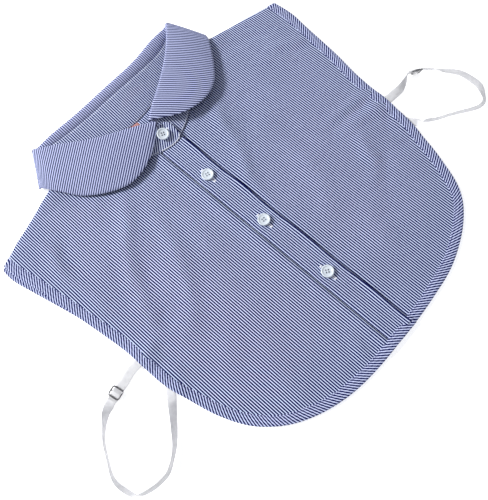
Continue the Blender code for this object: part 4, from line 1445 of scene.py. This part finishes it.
def sewn_button(node, place, slope, turn):
    """A button at its place, and the thread through its holes."""
    tilt = Matrix.Rotation(math.radians(slope), 3, "X")
    points, faces = button_body(turn)
    made = add_piece("resin_" + node, [tilt @ p + place for p in points], faces, resin)
    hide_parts(node)

    def bar(start, end, radius):
        button_bars.append((tilt @ start + place, tilt @ end + place, radius))

    holes = [Vector((x, y, 0.0)) for x, y in hole_places(turn)]
    for a, b in ((0, 1), (2, 3)):
        aside = (holes[b] - holes[a]).normalized().cross(UP)
        for offset in (-0.08, 0.08):
            run = [
                holes[a].lerp(holes[b], share) + aside * offset + UP * height
                for share, height in THREAD_ARCH
            ]
            for start, end in zip(run, run[1:]):
                bar(start, end, 0.07)
    for h in range(5):
        angle = 2 * math.pi * h / 5
        foot = Vector((0.7 * math.cos(angle), 0.7 * math.sin(angle), -0.9))
        bar(foot, foot + UP * 1.1, 0.4)


for node, x, y, turn in BUTTONS:
    sewn_button(node, Vector((x, y, PLACKET_LEVEL + PLACKET_THICK + 0.3)), 0.0, turn)
sewn_button("button_collar", Vector(COLLAR_BUTTON[:3]), COLLAR_BUTTON[3], COLLAR_BUTTON[4])
thread_piece("button_thread", button_bars, white_thread)


# ---------------------------------------------------------------- buttonholes
# Slits worked with close white satin stitch on both sides and barred at both ends.
# Those of the placket run along it, and the one of the stand lies along the neck.

SATIN_PITCH = 0.42        # distance from stitch to stitch
SATIN_THREAD = 0.22       # radius of the satin stitches
COLLAR_BUTTONHOLE_HALF = 5.2

random.seed(4)
hole_bars = []


def buttonhole(place, ahead, aside, up, half_length):
    """Satin stitches round a slit at place, which runs along ahead."""
    for k in range(int(2 * half_length / SATIN_PITCH) + 1):
        run = -half_length + k * SATIN_PITCH
        for side in (-1, 1):
            wobble = random.uniform(-0.06, 0.06)
            inner = place + ahead * run + aside * side * 0.25 + up * 0.12
            outer = place + ahead * (run + wobble) + aside * side * (1.25 + wobble) + up * 0.02
            hole_bars.append((inner, outer, SATIN_THREAD))
    for end in (-1, 1):
        for k in range(4):
            across = place + ahead * end * (half_length + 0.25 + 0.3 * k) + up * 0.1
            hole_bars.append((across - aside * 1.35, across + aside * 1.35, SATIN_THREAD + 0.02))


for node, x, y, turn in BUTTONS:
    hole_place = Vector((x, y - 0.8, PLACKET_LEVEL + PLACKET_THICK - 0.12))
    buttonhole(hole_place, Vector((0, 1, 0)), Vector((1, 0, 0)), UP, BUTTONHOLE_HALF)
collar_slope = Matrix.Rotation(math.radians(COLLAR_BUTTON[3]), 3, "X")
hole_place = Vector(COLLAR_BUTTON[:3]) + collar_slope @ Vector((1.5, 0.0, -0.55))
buttonhole(
    hole_place, Vector((0.99, 0.12, 0.0)), collar_slope @ Vector((-0.12, 0.99, 0.0)),
    collar_slope @ UP, COLLAR_BUTTONHOLE_HALF,
)
thread_piece("buttonhole_stitches", hole_bars, white_thread)


# ---------------------------------------------------------------- seam stitches
# Lockstitch rows: blue on the bindings' inner edges, white along the placket's seam,
# along the stand's neck seam and between the stand and the fall.

def dashes(line, stitch, gap, radius, lift):
    """Stitches laid end to end along a line of points."""
    runs = run_lengths(line)
    bars = []
    run = gap

    def at(distance):
        for i in range(1, len(runs)):
            if runs[i] >= distance:
                share = (distance - runs[i - 1]) / max(1e-6, runs[i] - runs[i - 1])
                return line[i - 1].lerp(line[i], share)
        return line[-1]

    while run + stitch < runs[-1]:
        bars.append((at(run) + UP * lift, at(run + stitch) + UP * lift, radius))
        run += stitch + gap
    return bars


blue_thread = sewing_thread("blue_thread", (0.20, 0.22, 0.42), (0.10, 0.11, 0.27))
pale_thread = sewing_thread("pale_thread", (0.62, 0.62, 0.85), (0.45, 0.46, 0.68))
binding_bars = []
for seam in (back_seam, left_seam, right_seam):
    binding_bars += dashes(seam, STITCH_PITCH - 0.7, 0.7, 0.16, FOLD_CLOTH / 2)
thread_piece("binding_stitches", binding_bars, blue_thread)

placket_bars = dashes(band_seam, 2.0, 1.3, 0.16, -0.04)
thread_piece("placket_stitches", placket_bars, pale_thread)


def seam_on_stand(column, first, last):
    """A line on the upper face of the stand, in from its edge."""
    line = []
    for r in range(first, last):
        row = stand_rows[r]
        base = int(column)
        point = row[base].lerp(row[base + 1], column - base)
        before, after = stand_rows[max(0, r - 1)], stand_rows[min(len(stand_rows) - 1, r + 1)]
        normal = (row[base + 1] - row[base]).cross(after[base] - before[base]).normalized()
        if normal.z < 0.0:
            normal = -normal
        line.append(point + normal * (COLLAR_CLOTH / 2 + 0.03))
    return line


leaf_start = left_tab_count + COLLAR_SPANS
fall_seam = STAND_COLUMNS - 1.4
stand_bars = dashes(seam_on_stand(0.3, 1, leaf_start), 2.4, 0.3, 0.5, 0.0)
stand_bars += dashes(seam_on_stand(0.3, leaf_start, right_tab_start), 2.2, 0.6, 0.2, 0.0)
stand_bars += dashes(seam_on_stand(fall_seam, left_tab_count, right_tab_start), 1.7, 0.6, 0.17, 0.0)
thread_piece("collar_stitches", stand_bars, white_thread)


def corners(box):
    """A box as plain lists of numbers."""
    return [list(corner) for corner in box]


{"cad": corners(cad_box), "visual": corners(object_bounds())}
